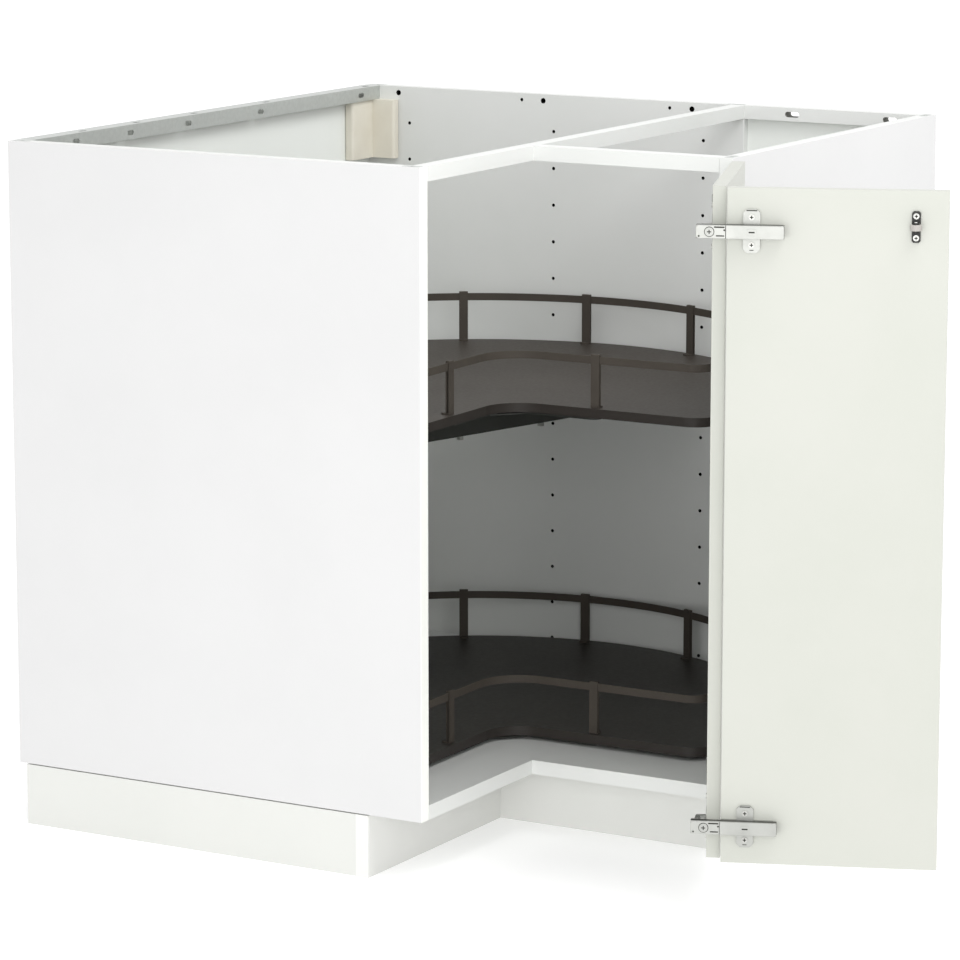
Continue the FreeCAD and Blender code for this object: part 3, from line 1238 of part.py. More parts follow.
def pieces():
    made = {
        "left_end_panel": left_end_panel(),
        "long_side_panel": long_side_panel(),
        "right_end_panel": right_end_panel(),
        "main_back_panel": main_back_panel(),
        "wing_back_panel": wing_back_panel(),
        "main_bottom_panel": main_bottom_panel(),
        "wing_bottom_panel": wing_bottom_panel(),
        "main_front_rail": main_front_rail(),
        "wing_front_rail": wing_front_rail(),
        "wing_back_rail": wing_back_rail(),
        "hanging_rail": hanging_rail(),
        "rail_corner_fittings": rail_corner_fittings(),
        "corner_block": corner_block(),
        "leg_sockets": leg_sockets(),
        "leg_feet": leg_feet(),
        "side_plinth": side_plinth(),
        "front_plinth": front_plinth(),
        "wing_plinth": wing_plinth(),
        "plinth_clips": plinth_clips(),
        "hinge_a_plates": group([hinge_a_plate(level) for level in HINGE_LEVELS]),
        "hinge_a_arms": group([hinge_a_arm(level) for level in HINGE_LEVELS]),
        "hinge_a_plate_screws": hinge_a_plate_screws(),
        "hinge_a_first_links": hinge_a_first_links(),
        "hinge_a_second_links": hinge_a_second_links(),
        "hinge_a_cups": hinge_a_cups(),
        "door_a_panel": door_a_panel(),
        "hinge_b_cups": hinge_b_cups(),
        "hinge_cup_screws": hinge_cup_screws(),
        "hinge_b_links": hinge_b_links(),
        "door_b_panel": door_b_panel(),
        "hinge_b_plates": hinge_b_plates(),
        "hinge_b_arms": hinge_b_arms(),
        "hinge_b_screws": hinge_b_screws(),
        "catch_plate": catch_plate(),
        "catch_screws": catch_screws(),
        "catch_roller": catch_roller(),
        "support_beam": beam(),
        "beam_brackets": beam_brackets(),
        "beam_bolts": beam_bolts(),
        "floor_screws": floor_screws(),
        "upper_bearing_base": bearing_base(BEAM_TOP),
        "lower_bearing_base": bearing_base(FLOOR_BOARD_TOP),
    }
    for name, base in (("lower", LOWER_SHELF_BASE), ("upper", UPPER_SHELF_BASE)):
        made[name + "_shelf_board"] = shelf_board(base)
        made[name + "_guard_rail"] = guard_rail(base)
        made[name + "_posts"] = shelf_posts(base)
        made[name + "_carrier"] = carrier(base)
        made[name + "_spacers"] = shelf_spacers(base)
    return made


def base_centre(shapes):
    """The middle of the whole cabinet's footprint as it stands, with its doors open."""
    boxes = [shape.optimalBoundingBox(True, False) for shape in shapes]
    x = (min(b.XMin for b in boxes) + max(b.XMax for b in boxes)) / 2
    y = (min(b.YMin for b in boxes) + max(b.YMax for b in boxes)) / 2
    return V(x, y, 0)


def main():
    os.makedirs("parts", exist_ok=True)
    made = pieces()
    centre = base_centre(made.values())
    for name, shape in made.items():
        moved = shape.copy()
        moved.translate(centre * -1)
        moved.exportStep("parts/" + name + ".step")
    for label, point in (
        ("arm pivot", PIVOT_ARM), ("knee pivot", PIVOT_KNEE_OPEN), ("cup pivot", PIVOT_CUP_OPEN),
        ("knee pivot shut", PIVOT_KNEE), ("cup pivot shut", PIVOT_CUP),
        ("corner cup pivot", open_point(PIE_PIVOT_CUP)), ("corner arm pivot", open_point(PIE_PIVOT_ARM)),
        ("roller", open_point((ROLLER_X, CATCH_Y))), ("turning centre", (TURN_CENTRE, -TURN_CENTRE)),
        ("room corner", (0, 0)),
    ):
        print(label, round(point[0] - centre.x, 4), round(point[1] - centre.y, 4))


main()
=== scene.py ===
"""Dresses a corner base cabinet with turning shelves and a folding door pair, and sets up its studio."""

import json
import logging
import math
from abc import ABC, abstractmethod
from dataclasses import dataclass, field
from enum import Enum
from typing import Callable, Optional, Union

import bmesh
import bpy
from mathutils import Matrix, Vector

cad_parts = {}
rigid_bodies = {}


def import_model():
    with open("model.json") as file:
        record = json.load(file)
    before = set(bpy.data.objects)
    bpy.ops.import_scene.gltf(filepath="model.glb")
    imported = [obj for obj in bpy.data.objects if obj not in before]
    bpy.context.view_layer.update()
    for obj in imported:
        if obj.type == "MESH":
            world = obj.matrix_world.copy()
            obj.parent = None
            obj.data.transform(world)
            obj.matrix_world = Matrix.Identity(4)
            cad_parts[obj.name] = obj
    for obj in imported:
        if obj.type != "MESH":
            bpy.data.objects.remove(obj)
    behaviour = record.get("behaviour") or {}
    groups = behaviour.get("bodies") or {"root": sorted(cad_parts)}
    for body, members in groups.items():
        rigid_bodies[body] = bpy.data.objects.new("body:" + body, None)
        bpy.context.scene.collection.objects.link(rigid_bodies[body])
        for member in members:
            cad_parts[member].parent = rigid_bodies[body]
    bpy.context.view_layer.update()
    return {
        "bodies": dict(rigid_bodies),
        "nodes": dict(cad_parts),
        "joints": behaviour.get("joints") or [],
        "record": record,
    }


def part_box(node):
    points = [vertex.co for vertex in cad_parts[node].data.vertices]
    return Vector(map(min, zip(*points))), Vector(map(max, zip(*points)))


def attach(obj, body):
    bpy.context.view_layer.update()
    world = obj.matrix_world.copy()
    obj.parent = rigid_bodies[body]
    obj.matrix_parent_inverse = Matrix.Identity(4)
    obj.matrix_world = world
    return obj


log = logging.getLogger("corner_cabinet")

Colour = tuple[float, float, float]
Place = tuple[float, float, float]
Value = Union["Sock", float]
FaceTest = Callable[[Vector, Vector], bool]

MM = 0.001
WHITE_LIGHT = (1.0, 1.0, 1.0)
NOISE_MIDDLE = 0.5
SQUARE_ON = 0.9

# The curve between screen colours and linear ones.
SCREEN_TOP = 255
CURVE_START = 0.04045
START_SLOPE = 12.92
CURVE_LIFT = 0.055
CURVE_POWER = 2.4


class Sock:
    """A shader value that builds Math nodes from Python expressions."""

    def __init__(self, tree: "ShaderTree", link: bpy.types.NodeSocket) -> None:
        """Wraps an output socket of a tree."""
        self.tree = tree
        self.link = link

    def _math(self, operation: str, *values: Value) -> "Sock":
        """Adds one Math node with these inputs."""
        return self.tree.node("ShaderNodeMath", {"operation": operation}, dict(enumerate(values)))

    def __add__(self, other: Value) -> "Sock":
        """Sum."""
        return self._math("ADD", self, other)

    def __radd__(self, other: Value) -> "Sock":
        """Sum with a number on the left."""
        return self._math("ADD", other, self)

    def __sub__(self, other: Value) -> "Sock":
        """Difference."""
        return self._math("SUBTRACT", self, other)

    def __rsub__(self, other: Value) -> "Sock":
        """Difference from a number on the left."""
        return self._math("SUBTRACT", other, self)

    def __mul__(self, other: Value) -> "Sock":
        """Product."""
        return self._math("MULTIPLY", self, other)

    def __rmul__(self, other: Value) -> "Sock":
        """Product with a number on the left."""
        return self._math("MULTIPLY", other, self)

    def clamped(self) -> "Sock":
        """The value held between zero and one."""
        return self._math("MINIMUM", self._math("MAXIMUM", self, 0.0), 1.0)

    def swing(self, amount: float) -> "Sock":
        """How far a noise is off its middle, times an amount."""
        return (self - NOISE_MIDDLE) * amount

    def mixed(self, other: "Sock", share: float) -> "Sock":
        """This value and a share of another one."""
        return self * (1.0 - share) + other * share

    def smooth(self, low: float, high: float) -> "Sock":
        """A soft step from zero at the low value to one at the high one."""
        return self.tree.node(
            "ShaderNodeMapRange", {"interpolation_type": "SMOOTHSTEP"},
            {"Value": self, "From Min": low, "From Max": high, "To Min": 0.0, "To Max": 1.0},
        )


class ShaderTree:
    """Builds one procedural material."""

    # A Mix node's colour sockets share their names with its other ones, so they go by number.
    MIX_SHARE = 0
    MIX_FIRST = 6
    MIX_SECOND = 7
    MIX_RESULT = 2

    def __init__(self, name: str) -> None:
        """Makes an empty node material of a name."""
        self.material = bpy.data.materials.new(name)
        self.material.use_nodes = True
        self.material.node_tree.nodes.clear()
        self.coords = self.node("ShaderNodeTexCoord", {}, {}, "Object")

    def node(self, kind: str, settings: dict, inputs: dict, output: Union[int, str] = 0) -> Sock:
        """Adds a node.

        Args:
            kind: the node's type.
            settings: attributes that are set first.
            inputs: values or sockets by input name or number.
            output: the output's name or number.

        Returns:
            The wrapped output.
        """
        made = self.material.node_tree.nodes.new(kind)
        for key, value in settings.items():
            setattr(made, key, value)
        for key, value in inputs.items():
            if isinstance(value, Sock):
                self.material.node_tree.links.new(value.link, made.inputs[key])
            else:
                made.inputs[key].default_value = value
        return Sock(self, made.outputs[output])

    def noise(
        self, scale: float, detail: float = 3.0, roughness: float = 0.5, where: Optional[Sock] = None
    ) -> Sock:
        """A noise value on the piece's own coordinates.

        Args:
            scale: features per metre.
            detail: octaves.
            roughness: strength of the finer octaves.
            where: other coordinates.

        Returns:
            The noise, about 0.5 on average.
        """
        return self.node(
            "ShaderNodeTexNoise", {},
            {"Vector": where or self.coords, "Scale": scale, "Detail": detail, "Roughness": roughness}, "Fac",
        )

    def cells(self, scale: float, output: str) -> Sock:
        """A cell pattern on the piece's own coordinates, with so many cells per metre."""
        return self.node("ShaderNodeTexVoronoi", {}, {"Vector": self.coords, "Scale": scale}, output)

    def stretched(self, scale: Place) -> Sock:
        """The piece's coordinates, scaled by axis."""
        return self.node("ShaderNodeMapping", {}, {"Vector": self.coords, "Scale": scale}, "Vector")

    def facing(self, axis: str) -> Sock:
        """One component of the surface's normal."""
        normal = self.node("ShaderNodeNewGeometry", {}, {}, "Normal")
        return self.node("ShaderNodeSeparateXYZ", {}, {"Vector": normal}, axis)

    def blend(self, share: Value, low: Union[Sock, Colour], high: Union[Sock, Colour]) -> Sock:
        """Mixes two colours.

        Args:
            share: how much of the second colour.
            low: the first colour.
            high: the second colour.

        Returns:
            The mixed colour.
        """
        first, second = (c if isinstance(c, Sock) else (*c, 1.0) for c in (low, high))
        inputs = {self.MIX_SHARE: share, self.MIX_FIRST: first, self.MIX_SECOND: second}
        return self.node("ShaderNodeMix", {"data_type": "RGBA"}, inputs, self.MIX_RESULT)

    def bump(self, height: Sock, depth_mm: float) -> Sock:
        """A bump normal of a height field, with a relief of so many millimetres for a height of one."""
        inputs = {"Height": height, "Distance": depth_mm * MM, "Strength": 1.0}
        return self.node("ShaderNodeBump", {}, inputs, "Normal")

    def finish(self, **inputs: Union[Sock, Colour, float]) -> bpy.types.Material:
        """Closes the material with its shader.

        Args:
            inputs: shader inputs, with underscores for the spaces in their names.

        Returns:
            The material.
        """
        named = {}
        for key, value in inputs.items():
            named[key.replace("_", " ")] = (*value, 1.0) if isinstance(value, tuple) else value
        shader = self.node("ShaderNodeBsdfPrincipled", {}, named, "BSDF")
        surface = self.material.node_tree.nodes.new("ShaderNodeOutputMaterial")
        self.material.node_tree.links.new(shader.link, surface.inputs["Surface"])
        return self.material


def linear_level(level: int) -> float:
    """Takes one screen level through the screen's curve.

    Args:
        level: the level, from 0 to 255.

    Returns:
        The linear share.
    """
    share = level / SCREEN_TOP
    if share <= CURVE_START:
        return share / START_SLOPE
    return ((share + CURVE_LIFT) / (1 + CURVE_LIFT)) ** CURVE_POWER


def linear(red: int, green: int, blue: int) -> Colour:
    """The linear colour of a screen colour."""
    return linear_level(red), linear_level(green), linear_level(blue)


@dataclass(frozen=True)
class TwoTone(ABC):
    """A finish of two close tones. Scales are features per metre, and swings are of the roughness."""

    name: str
    colour: Colour
    shade: Colour

    def tones(self, tree: ShaderTree, pattern: Sock, span: tuple[float, float]) -> Sock:
        """The two tones, mixed where the pattern's value runs through a span."""
        return tree.blend(pattern.smooth(*span), self.colour, self.shade)

    @abstractmethod
    def build(self) -> bpy.types.Material:
        """Makes the material."""


@dataclass(frozen=True)
class Laminate(TwoTone):
    """Smooth faced board: a faint mottling, a soft gloss and the slight ripple of pressed laminate."""

    roughness: float = 0.38
    gloss: float = 0.4
    cloud_scale: float = 6.0
    grain_scale: float = 950.0
    grain_share: float = 0.3
    tone_span: tuple[float, float] = (0.3, 0.75)
    sheen_scale: float = 140.0
    sheen_swing: float = 0.12
    ripple_scale: float = 320.0
    grain_relief: float = 0.35
    relief_mm: float = 0.02

    def build(self) -> bpy.types.Material:
        """Makes the material.

        Returns:
            The material.
        """
        tree = ShaderTree(self.name)
        cloud = tree.noise(self.cloud_scale, detail=4.0, roughness=0.55)
        grain = tree.noise(self.grain_scale, detail=2.0, roughness=0.6)
        sheen = tree.noise(self.sheen_scale)
        ripple = tree.noise(self.ripple_scale, detail=2.0) + grain * self.grain_relief
        return tree.finish(
            Base_Color=self.tones(tree, cloud.mixed(grain, self.grain_share), self.tone_span),
            Roughness=self.roughness + sheen.swing(self.sheen_swing),
            Normal=tree.bump(ripple, self.relief_mm),
            Specular_IOR_Level=self.gloss,
        )


@dataclass(frozen=True)
class DarkLaminate(TwoTone):
    """Dark shelf board: a brown face with a fine matt print, and an edge band of its own tone."""

    edge: Colour
    roughness: float = 0.46
    gloss: float = 0.3
    cloud_scale: float = 9.0
    print_scale: float = 1300.0
    print_share: float = 0.4
    tone_span: tuple[float, float] = (0.3, 0.72)
    edge_span: tuple[float, float] = (0.55, 0.9)
    sheen_scale: float = 220.0
    sheen_swing: float = 0.14
    relief_mm: float = 0.012

    def build(self) -> bpy.types.Material:
        """Makes the material.

        Returns:
            The material.
        """
        tree = ShaderTree(self.name)
        grain = tree.noise(self.print_scale, detail=2.0, roughness=0.6)
        cloud = tree.noise(self.cloud_scale)
        face = self.tones(tree, cloud.mixed(grain, self.print_share), self.tone_span)
        upright = (1.0 - tree.facing("Z") * tree.facing("Z")).smooth(*self.edge_span)
        sheen = tree.noise(self.sheen_scale)
        return tree.finish(
            Base_Color=tree.blend(upright, face, self.edge),
            Roughness=self.roughness + sheen.swing(self.sheen_swing),
            Normal=tree.bump(grain, self.relief_mm),
            Specular_IOR_Level=self.gloss,
        )


@dataclass(frozen=True)
class PowderCoat(TwoTone):
    """Stoved powder paint on steel: tight pebbled skin with a low sheen."""

    roughness: float = 0.42
    gloss: float = 0.25
    cloud_scale: float = 18.0
    pebble_scale: float = 1500.0
    pebble_share: float = 0.4
    tone_span: tuple[float, float] = (0.2, 0.8)
    sheen_scale: float = 300.0
    sheen_swing: float = 0.15
    relief_mm: float = 0.03

    def build(self) -> bpy.types.Material:
        """Makes the material.

        Returns:
            The material.
        """
        tree = ShaderTree(self.name)
        pebble = tree.cells(self.pebble_scale, "Distance")
        cloud = tree.noise(self.cloud_scale)
        sheen = tree.noise(self.sheen_scale, detail=2.0)
        return tree.finish(
            Base_Color=self.tones(tree, cloud.mixed(pebble, self.pebble_share), self.tone_span),
            Roughness=self.roughness + sheen.swing(self.sheen_swing),
            Normal=tree.bump(pebble, self.relief_mm),
            Specular_IOR_Level=self.gloss,
        )


@dataclass(frozen=True)
class PlatedSteel(TwoTone):
    """Bright plated pressings: fine draw marks, or turned ones, and a slightly uneven shine."""

    roughness: float = 0.22
    drawn: bool = True
    cloud_scale: float = 40.0
    tone_span: tuple[float, float] = (0.25, 0.8)
    draw_scale: float = 60.0
    draw_stretch: Place = (1.0, 1.0, 18.0)
    turned_scale: float = 160.0
    mark_swing: float = 0.16
    relief_mm: float = 0.01

    def build(self) -> bpy.types.Material:
        """Makes the material.

        Returns:
            The material.
        """
        tree = ShaderTree(self.name)
        if self.drawn:
            lines = tree.stretched(self.draw_stretch)
            marks = tree.noise(self.draw_scale, detail=4.0, roughness=0.6, where=lines)
        else:
            marks = tree.noise(self.turned_scale)
        return tree.finish(
            Base_Color=self.tones(tree, tree.noise(self.cloud_scale), self.tone_span),
            Metallic=1.0,
            Roughness=(self.roughness + marks.swing(self.mark_swing)).clamped(),
            Normal=tree.bump(marks, self.relief_mm),
        )


@dataclass(frozen=True)
class Galvanised(TwoTone):
    """Zinc dipped strip: crystal spangle in colour and shine, under an uneven film."""

    roughness: float = 0.36
    metallic: float = 0.85
    spangle_scale: float = 260.0
    spangle_tone: float = 0.35
    spangle_swing: float = 0.08
    film_scale: float = 25.0
    film_tone: float = 0.5
    film_swing: float = 0.08
    relief_mm: float = 0.008

    def build(self) -> bpy.types.Material:
        """Makes the material.

        Returns:
            The material.
        """
        tree = ShaderTree(self.name)
        cells = tree.cells(self.spangle_scale, "Color")
        spangle = tree.node("ShaderNodeSeparateColor", {}, {"Color": cells}, "Red")
        film = tree.noise(self.film_scale, detail=4.0)
        tone = (spangle * self.spangle_tone + film * self.film_tone).clamped()
        return tree.finish(
            Base_Color=tree.blend(tone, self.colour, self.shade),
            Metallic=self.metallic,
            Roughness=self.roughness + spangle * self.spangle_swing + film.swing(self.film_swing),
            Normal=tree.bump(spangle, self.relief_mm),
        )


@dataclass(frozen=True)
class MouldedPlastic(TwoTone):
    """Moulded plastic with a spark-eroded texture."""

    roughness: float = 0.5
    gloss: float = 0.4
    flow_scale: float = 30.0
    texture_scale: float = 1100.0
    texture_share: float = 0.2
    tone_span: tuple[float, float] = (0.25, 0.8)
    texture_swing: float = 0.12
    relief_mm: float = 0.02

    def build(self) -> bpy.types.Material:
        """Makes the material.

        Returns:
            The material.
        """
        tree = ShaderTree(self.name)
        texture = tree.noise(self.texture_scale, detail=2.0, roughness=0.7)
        flow = tree.noise(self.flow_scale)
        return tree.finish(
            Base_Color=self.tones(tree, flow.mixed(texture, self.texture_share), self.tone_span),
            Roughness=self.roughness + texture.swing(self.texture_swing),
            Normal=tree.bump(texture, self.relief_mm),
            Specular_IOR_Level=self.gloss,
        )


class Finish(Enum):
    """The finishes of the cabinet, by record slot."""

    WHITE = "white_board"
    BACK = "back_board"
    PLINTH = "plinth_board"
    CREAM = "cream_door"
    ZINC = "zinc_steel"
    BEIGE = "beige_plastic"
    LEG = "leg_plastic"
    NICKEL = "nickel"
    SCREW = "screw_steel"
    BLACK = "black_plastic"
    PALE = "pale_plastic"
    DARK = "dark_steel"
    UPPER = "upper_shelf_brown"
    LOWER = "lower_shelf_brown"
    BRONZE = "rail_bronze"


class Trim(Enum):
    """The finishes of single faces and of small marks, which have no slot of their own: painted shade in
    holes, slots, recesses and gaps, on outer board faces and on the hinge arms' sides, and a painted
    highlight on an edge band.
    """

    # Painted shade: the dark walls of drilled holes.
    DRILLED = "painted shade in a drilled hole"
    # Painted shade: the grey walls of the rail's routed slots.
    SLOTTED = "painted shade in a routed slot"
    # Painted shade: outer board faces in a darker white than the same board's inner faces.
    OUTER = "painted shade on the outer face of a board"
    # Painted highlight: the edge band in a lighter white than its board.
    BANDED = "painted highlight on the edge band of a board"
    # Painted shade: the plinth's outer face in a darker white than the plinth board.
    SKIRT = "painted shade on the outer face of a plinth board"
    # Painted shade: a dark nickel on the hinge arms' top and end faces.
    SHADED = "painted shade on the nickel arm sides"
    # Painted shade: dark marks in screw recesses, gap lines and joints.
    RECESS = "painted shade in recesses and gaps"


AnyFinish = Union[Finish, Trim]

RECIPES: dict[AnyFinish, TwoTone] = {
    Finish.WHITE: Laminate("white board", linear(220, 221, 219), linear(216, 218, 215)),
    Finish.BACK: Laminate("back board", linear(240, 243, 239), linear(235, 238, 234)),
    Finish.PLINTH: Laminate("plinth board", linear(220, 220, 217), linear(216, 217, 213)),
    Finish.CREAM: Laminate("cream door board", linear(187, 188, 181), linear(183, 185, 177)),
    Finish.ZINC: Galvanised("galvanised strip", linear(206, 209, 206), linear(191, 194, 191)),
    Finish.BEIGE: MouldedPlastic("beige block plastic", linear(226, 222, 209), linear(219, 214, 200)),
    Finish.LEG: MouldedPlastic("black leg plastic", linear(38, 38, 38), linear(48, 48, 48)),
    Finish.NICKEL: PlatedSteel(
        "nickel plate", linear(172, 173, 169), linear(161, 162, 158), roughness=0.42
    ),
    Finish.SCREW: PlatedSteel(
        "zinc plated screws", linear(190, 190, 186), linear(168, 168, 164), roughness=0.3, drawn=False
    ),
    Finish.BLACK: MouldedPlastic(
        "black catch plastic", linear(32, 32, 30), linear(44, 43, 40), roughness=0.38, gloss=0.3
    ),
    Finish.PALE: MouldedPlastic(
        "pale wheel plastic", linear(172, 168, 163), linear(158, 154, 149), roughness=0.4
    ),
    Finish.DARK: PowderCoat(
        "dark bearing steel", linear(57, 58, 55), linear(48, 49, 46), roughness=0.5, gloss=0.2
    ),
    Finish.UPPER: DarkLaminate(
        "upper shelf board", linear(62, 57, 52), linear(57, 52, 47), linear(46, 42, 39),
        roughness=0.5, gloss=0.2,
    ),
    Finish.LOWER: DarkLaminate(
        "lower shelf board", linear(47, 44, 39), linear(42, 39, 35), linear(50, 46, 43)
    ),
    Finish.BRONZE: PowderCoat(
        "bronze rail paint", linear(76, 71, 65), linear(68, 63, 58), roughness=0.56, gloss=0.1
    ),
    # Painted shade: near black for the shade inside drilled holes.
    Trim.DRILLED: MouldedPlastic(
        "drilled hole painted shade", linear(14, 13, 12), linear(9, 9, 8), roughness=0.9, gloss=0.1
    ),
    # Painted shade: grey for the shade inside the rail's routed slots.
    Trim.SLOTTED: MouldedPlastic(
        "routed slot painted shade", linear(150, 150, 145), linear(138, 138, 133), roughness=0.8, gloss=0.2
    ),
    # Painted shade: a darker copy of the white board for outer faces.
    Trim.OUTER: Laminate("outer board face painted shade", linear(206, 206, 206), linear(203, 203, 203)),
    # Painted highlight: a lighter copy of the white board for an edge band.
    Trim.BANDED: Laminate("board edge band painted highlight", linear(243, 244, 239), linear(239, 240, 235)),
    # Painted shade: a darker copy of the plinth board for its outer face.
    Trim.SKIRT: Laminate("outer plinth face painted shade", linear(208, 209, 205), linear(205, 206, 202)),
    # Painted shade: dark nickel for the arms' top and end faces.
    Trim.SHADED: PlatedSteel("nickel arm painted shade", linear(92, 92, 88), linear(74, 74, 70), roughness=0.4),
    # Painted shade: dark marks for recesses, gap lines and joints.
    Trim.RECESS: PlatedSteel(
        "recess and gap painted shade", linear(62, 62, 58), linear(50, 50, 47), roughness=0.5, drawn=False
    ),
}


@dataclass
class Dresser:
    """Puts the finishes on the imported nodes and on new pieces."""

    frame: dict
    made: dict = field(default_factory=dict)

    def material(self, finish: AnyFinish) -> bpy.types.Material:
        """The material of a finish, made once."""
        if finish not in self.made:
            self.made[finish] = RECIPES[finish].build()
        return self.made[finish]

    def dress_nodes(self) -> None:
        """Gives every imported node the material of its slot."""
        slots = {entry["node"]: entry["material_slot"] for entry in self.frame["record"]["subparts"]}
        for name, node in self.frame["nodes"].items():
            node.data.materials.clear()
            node.data.materials.append(self.material(Finish(slots[name])))
            log.info("dressed %s in %s", name, slots[name])

    def face(self, name: str, finish: Trim, test: FaceTest) -> None:
        """Puts a further finish on some faces of a node.

        Args:
            name: the node.
            finish: what those faces get.
            test: says from a face's centre and normal whether it is one of them.
        """
        mesh = self.frame["nodes"][name].data
        mesh.materials.append(self.material(finish))
        chosen = [face for face in mesh.polygons if test(face.center, face.normal)]
        for face in chosen:
            face.material_index = len(mesh.materials) - 1
        log.info("%d faces of %s in %s", len(chosen), name, finish.value)

    def add(
        self, shape: "Shape", name: str, place: Matrix, body: str, slot: Finish,
        finish: Optional[AnyFinish] = None,
    ) -> None:
        """Makes a piece of a shape and lets it ride on a body.

        Args:
            shape: the shape, in millimetres on its own plane.
            name: the piece's name.
            place: where the plane lies, in metres.
            body: the body that carries it.
            slot: the record's slot whose finish it takes.
            finish: its finish, if that isn't the slot's own.
        """
        mesh = shape.mesh(name, place)
        mesh.materials.append(self.material(finish or slot))
        piece = bpy.data.objects.new(name, mesh)
        bpy.context.scene.collection.objects.link(piece)
        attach(piece, body)
        log.info("made %s on %s", name, body)


@dataclass
class BoardFaces:
    """Painted shade in the drilled holes and routed slots and on the outer faces, and a painted highlight on
    an edge band, of the carcass boards.
    """

    dresser: Dresser
    skin_mm: float = 1.3
    # Boards whose drilled holes get painted shade.
    drilled: tuple[str, ...] = ("left_end_panel", "long_side_panel", "right_end_panel")
    # The rail whose routed slots get painted shade.
    slotted: str = "wing_back_rail"
    # Boards whose outer faces get painted shade, with the side each looks to.
    outer: tuple[tuple[str, Place], ...] = (
        ("left_end_panel", (0, -1, 0)),
        ("right_end_panel", (1, 0, 0)),
        ("main_back_panel", (-1, 0, 0)),
        ("long_side_panel", (0, 1, 0)),
        ("wing_back_panel", (0, 1, 0)),
    )
    # The edge that gets a painted highlight.
    banded: tuple[str, Place] = ("left_end_panel", (1, 0, 0))
    # The plinth face that gets painted shade.
    skirt: tuple[str, Place] = ("side_plinth", (0, -1, 0))

    def build(self) -> None:
        """Puts the painted shade and the painted highlight on the boards."""
        for name in self.drilled:
            self.dresser.face(name, Trim.DRILLED, self.sunk(name))
        self.dresser.face(self.slotted, Trim.SLOTTED, self.sunk(self.slotted))
        for name, side in self.outer:
            self.dresser.face(name, Trim.OUTER, self.towards(side))
        for (name, side), finish in ((self.banded, Trim.BANDED), (self.skirt, Trim.SKIRT)):
            self.dresser.face(name, finish, self.towards(side))

    def sunk(self, name: str) -> FaceTest:
        """A test for faces that lie below a board's own skin.

        Args:
            name: the board.

        Returns:
            The test.
        """
        low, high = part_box(name)
        skin = self.skin_mm * MM
        return lambda centre, normal: all(a + skin < c < b - skin for a, c, b in zip(low, centre, high))

    def towards(self, side: Place) -> FaceTest:
        """A test for faces that look to one side."""
        return lambda centre, normal: normal.dot(Vector(side)) > SQUARE_ON


class Shape:
    """A small piece under construction, in millimetres: X along its plane, Y up, Z out of it."""

    CORNER_STEPS = 4
    RIM_STEPS = 2
    ROUND_STEPS = 28
    LEVEL_SLACK = 1e-5

    def __init__(self) -> None:
        """Starts with nothing."""
        self.bm = bmesh.new()

    def _raise(self, bm: bmesh.types.BMesh, at: Place, height: float, rim: float) -> "Shape":
        """Makes a form of a flat outline and adds it to the shape.

        Args:
            bm: the outline, as one face.
            at: the middle of the form's lower face.
            height: how far it stands out.
            rim: the radius of its upper face's rim.

        Returns:
            The shape itself.
        """
        raised = bmesh.ops.extrude_face_region(bm, geom=list(bm.faces))["geom"]
        bmesh.ops.translate(
            bm, vec=(0, 0, height), verts=[item for item in raised if isinstance(item, bmesh.types.BMVert)]
        )
        bmesh.ops.recalc_face_normals(bm, faces=bm.faces)
        lip = [e for e in bm.edges if all(abs(v.co.z - height) < self.LEVEL_SLACK for v in e.verts)]
        bmesh.ops.bevel(
            bm, geom=lip, offset=rim, offset_type="OFFSET", segments=self.RIM_STEPS,
            profile=0.5, affect="EDGES", material=-1,
        )
        bmesh.ops.translate(bm, vec=at, verts=bm.verts)
        carrier = bpy.data.meshes.new("carrier")
        bm.to_mesh(carrier)
        bm.free()
        self.bm.from_mesh(carrier)
        bpy.data.meshes.remove(carrier)
        return self

    def tablet(
        self, at: Place, size: Place, corner: float = 0.2, rim: float = 0.15, ends: tuple[int, ...] = (-1, 1)
    ) -> "Shape":
        """A flat tablet with rounded corners and a soft rim.

        Args:
            at: the middle of its lower face.
            size: its width, height and thickness.
            corner: the radius of its corners.
            rim: the radius of its rim.
            ends: the ends whose corners are rounded, -1 the left and 1 the right.

        Returns:
            The shape itself.
        """
        width, height, thickness = size
        bm = bmesh.new()
        bmesh.ops.create_grid(bm, x_segments=1, y_segments=1, size=0.5)
        bmesh.ops.scale(bm, vec=(width, height, 1.0), verts=bm.verts)
        rounded = [vert for vert in bm.verts if math.copysign(1, vert.co.x) in ends]
        bmesh.ops.bevel(
            bm, geom=rounded, offset=corner, offset_type="OFFSET", segments=self.CORNER_STEPS,
            profile=0.5, affect="VERTICES", material=-1,
        )
        return self._raise(bm, at, thickness, rim)

    def stud(self, at: Place, radius: float, height: float, rim: float = 0.25) -> "Shape":
        """A round head with a soft rim.

        Args:
            at: the middle of its lower face.
            radius: its radius.
            height: how far it stands out.
            rim: the radius of its rim.

        Returns:
            The shape itself.
        """
        bm = bmesh.new()
        bmesh.ops.create_circle(bm, cap_ends=True, segments=self.ROUND_STEPS, radius=radius)
        return self._raise(bm, at, height, rim)

    def mesh(self, name: str, place: Matrix) -> bpy.types.Mesh:
        """Closes the shape.

        Args:
            name: the mesh's name.
            place: where its plane lies, in metres.

        Returns:
            The mesh, in place.
        """
        bmesh.ops.transform(self.bm, matrix=place @ Matrix.Scale(MM, 4), verts=self.bm.verts)
        mesh = bpy.data.meshes.new(name)
        self.bm.to_mesh(mesh)
        self.bm.free()
        return mesh


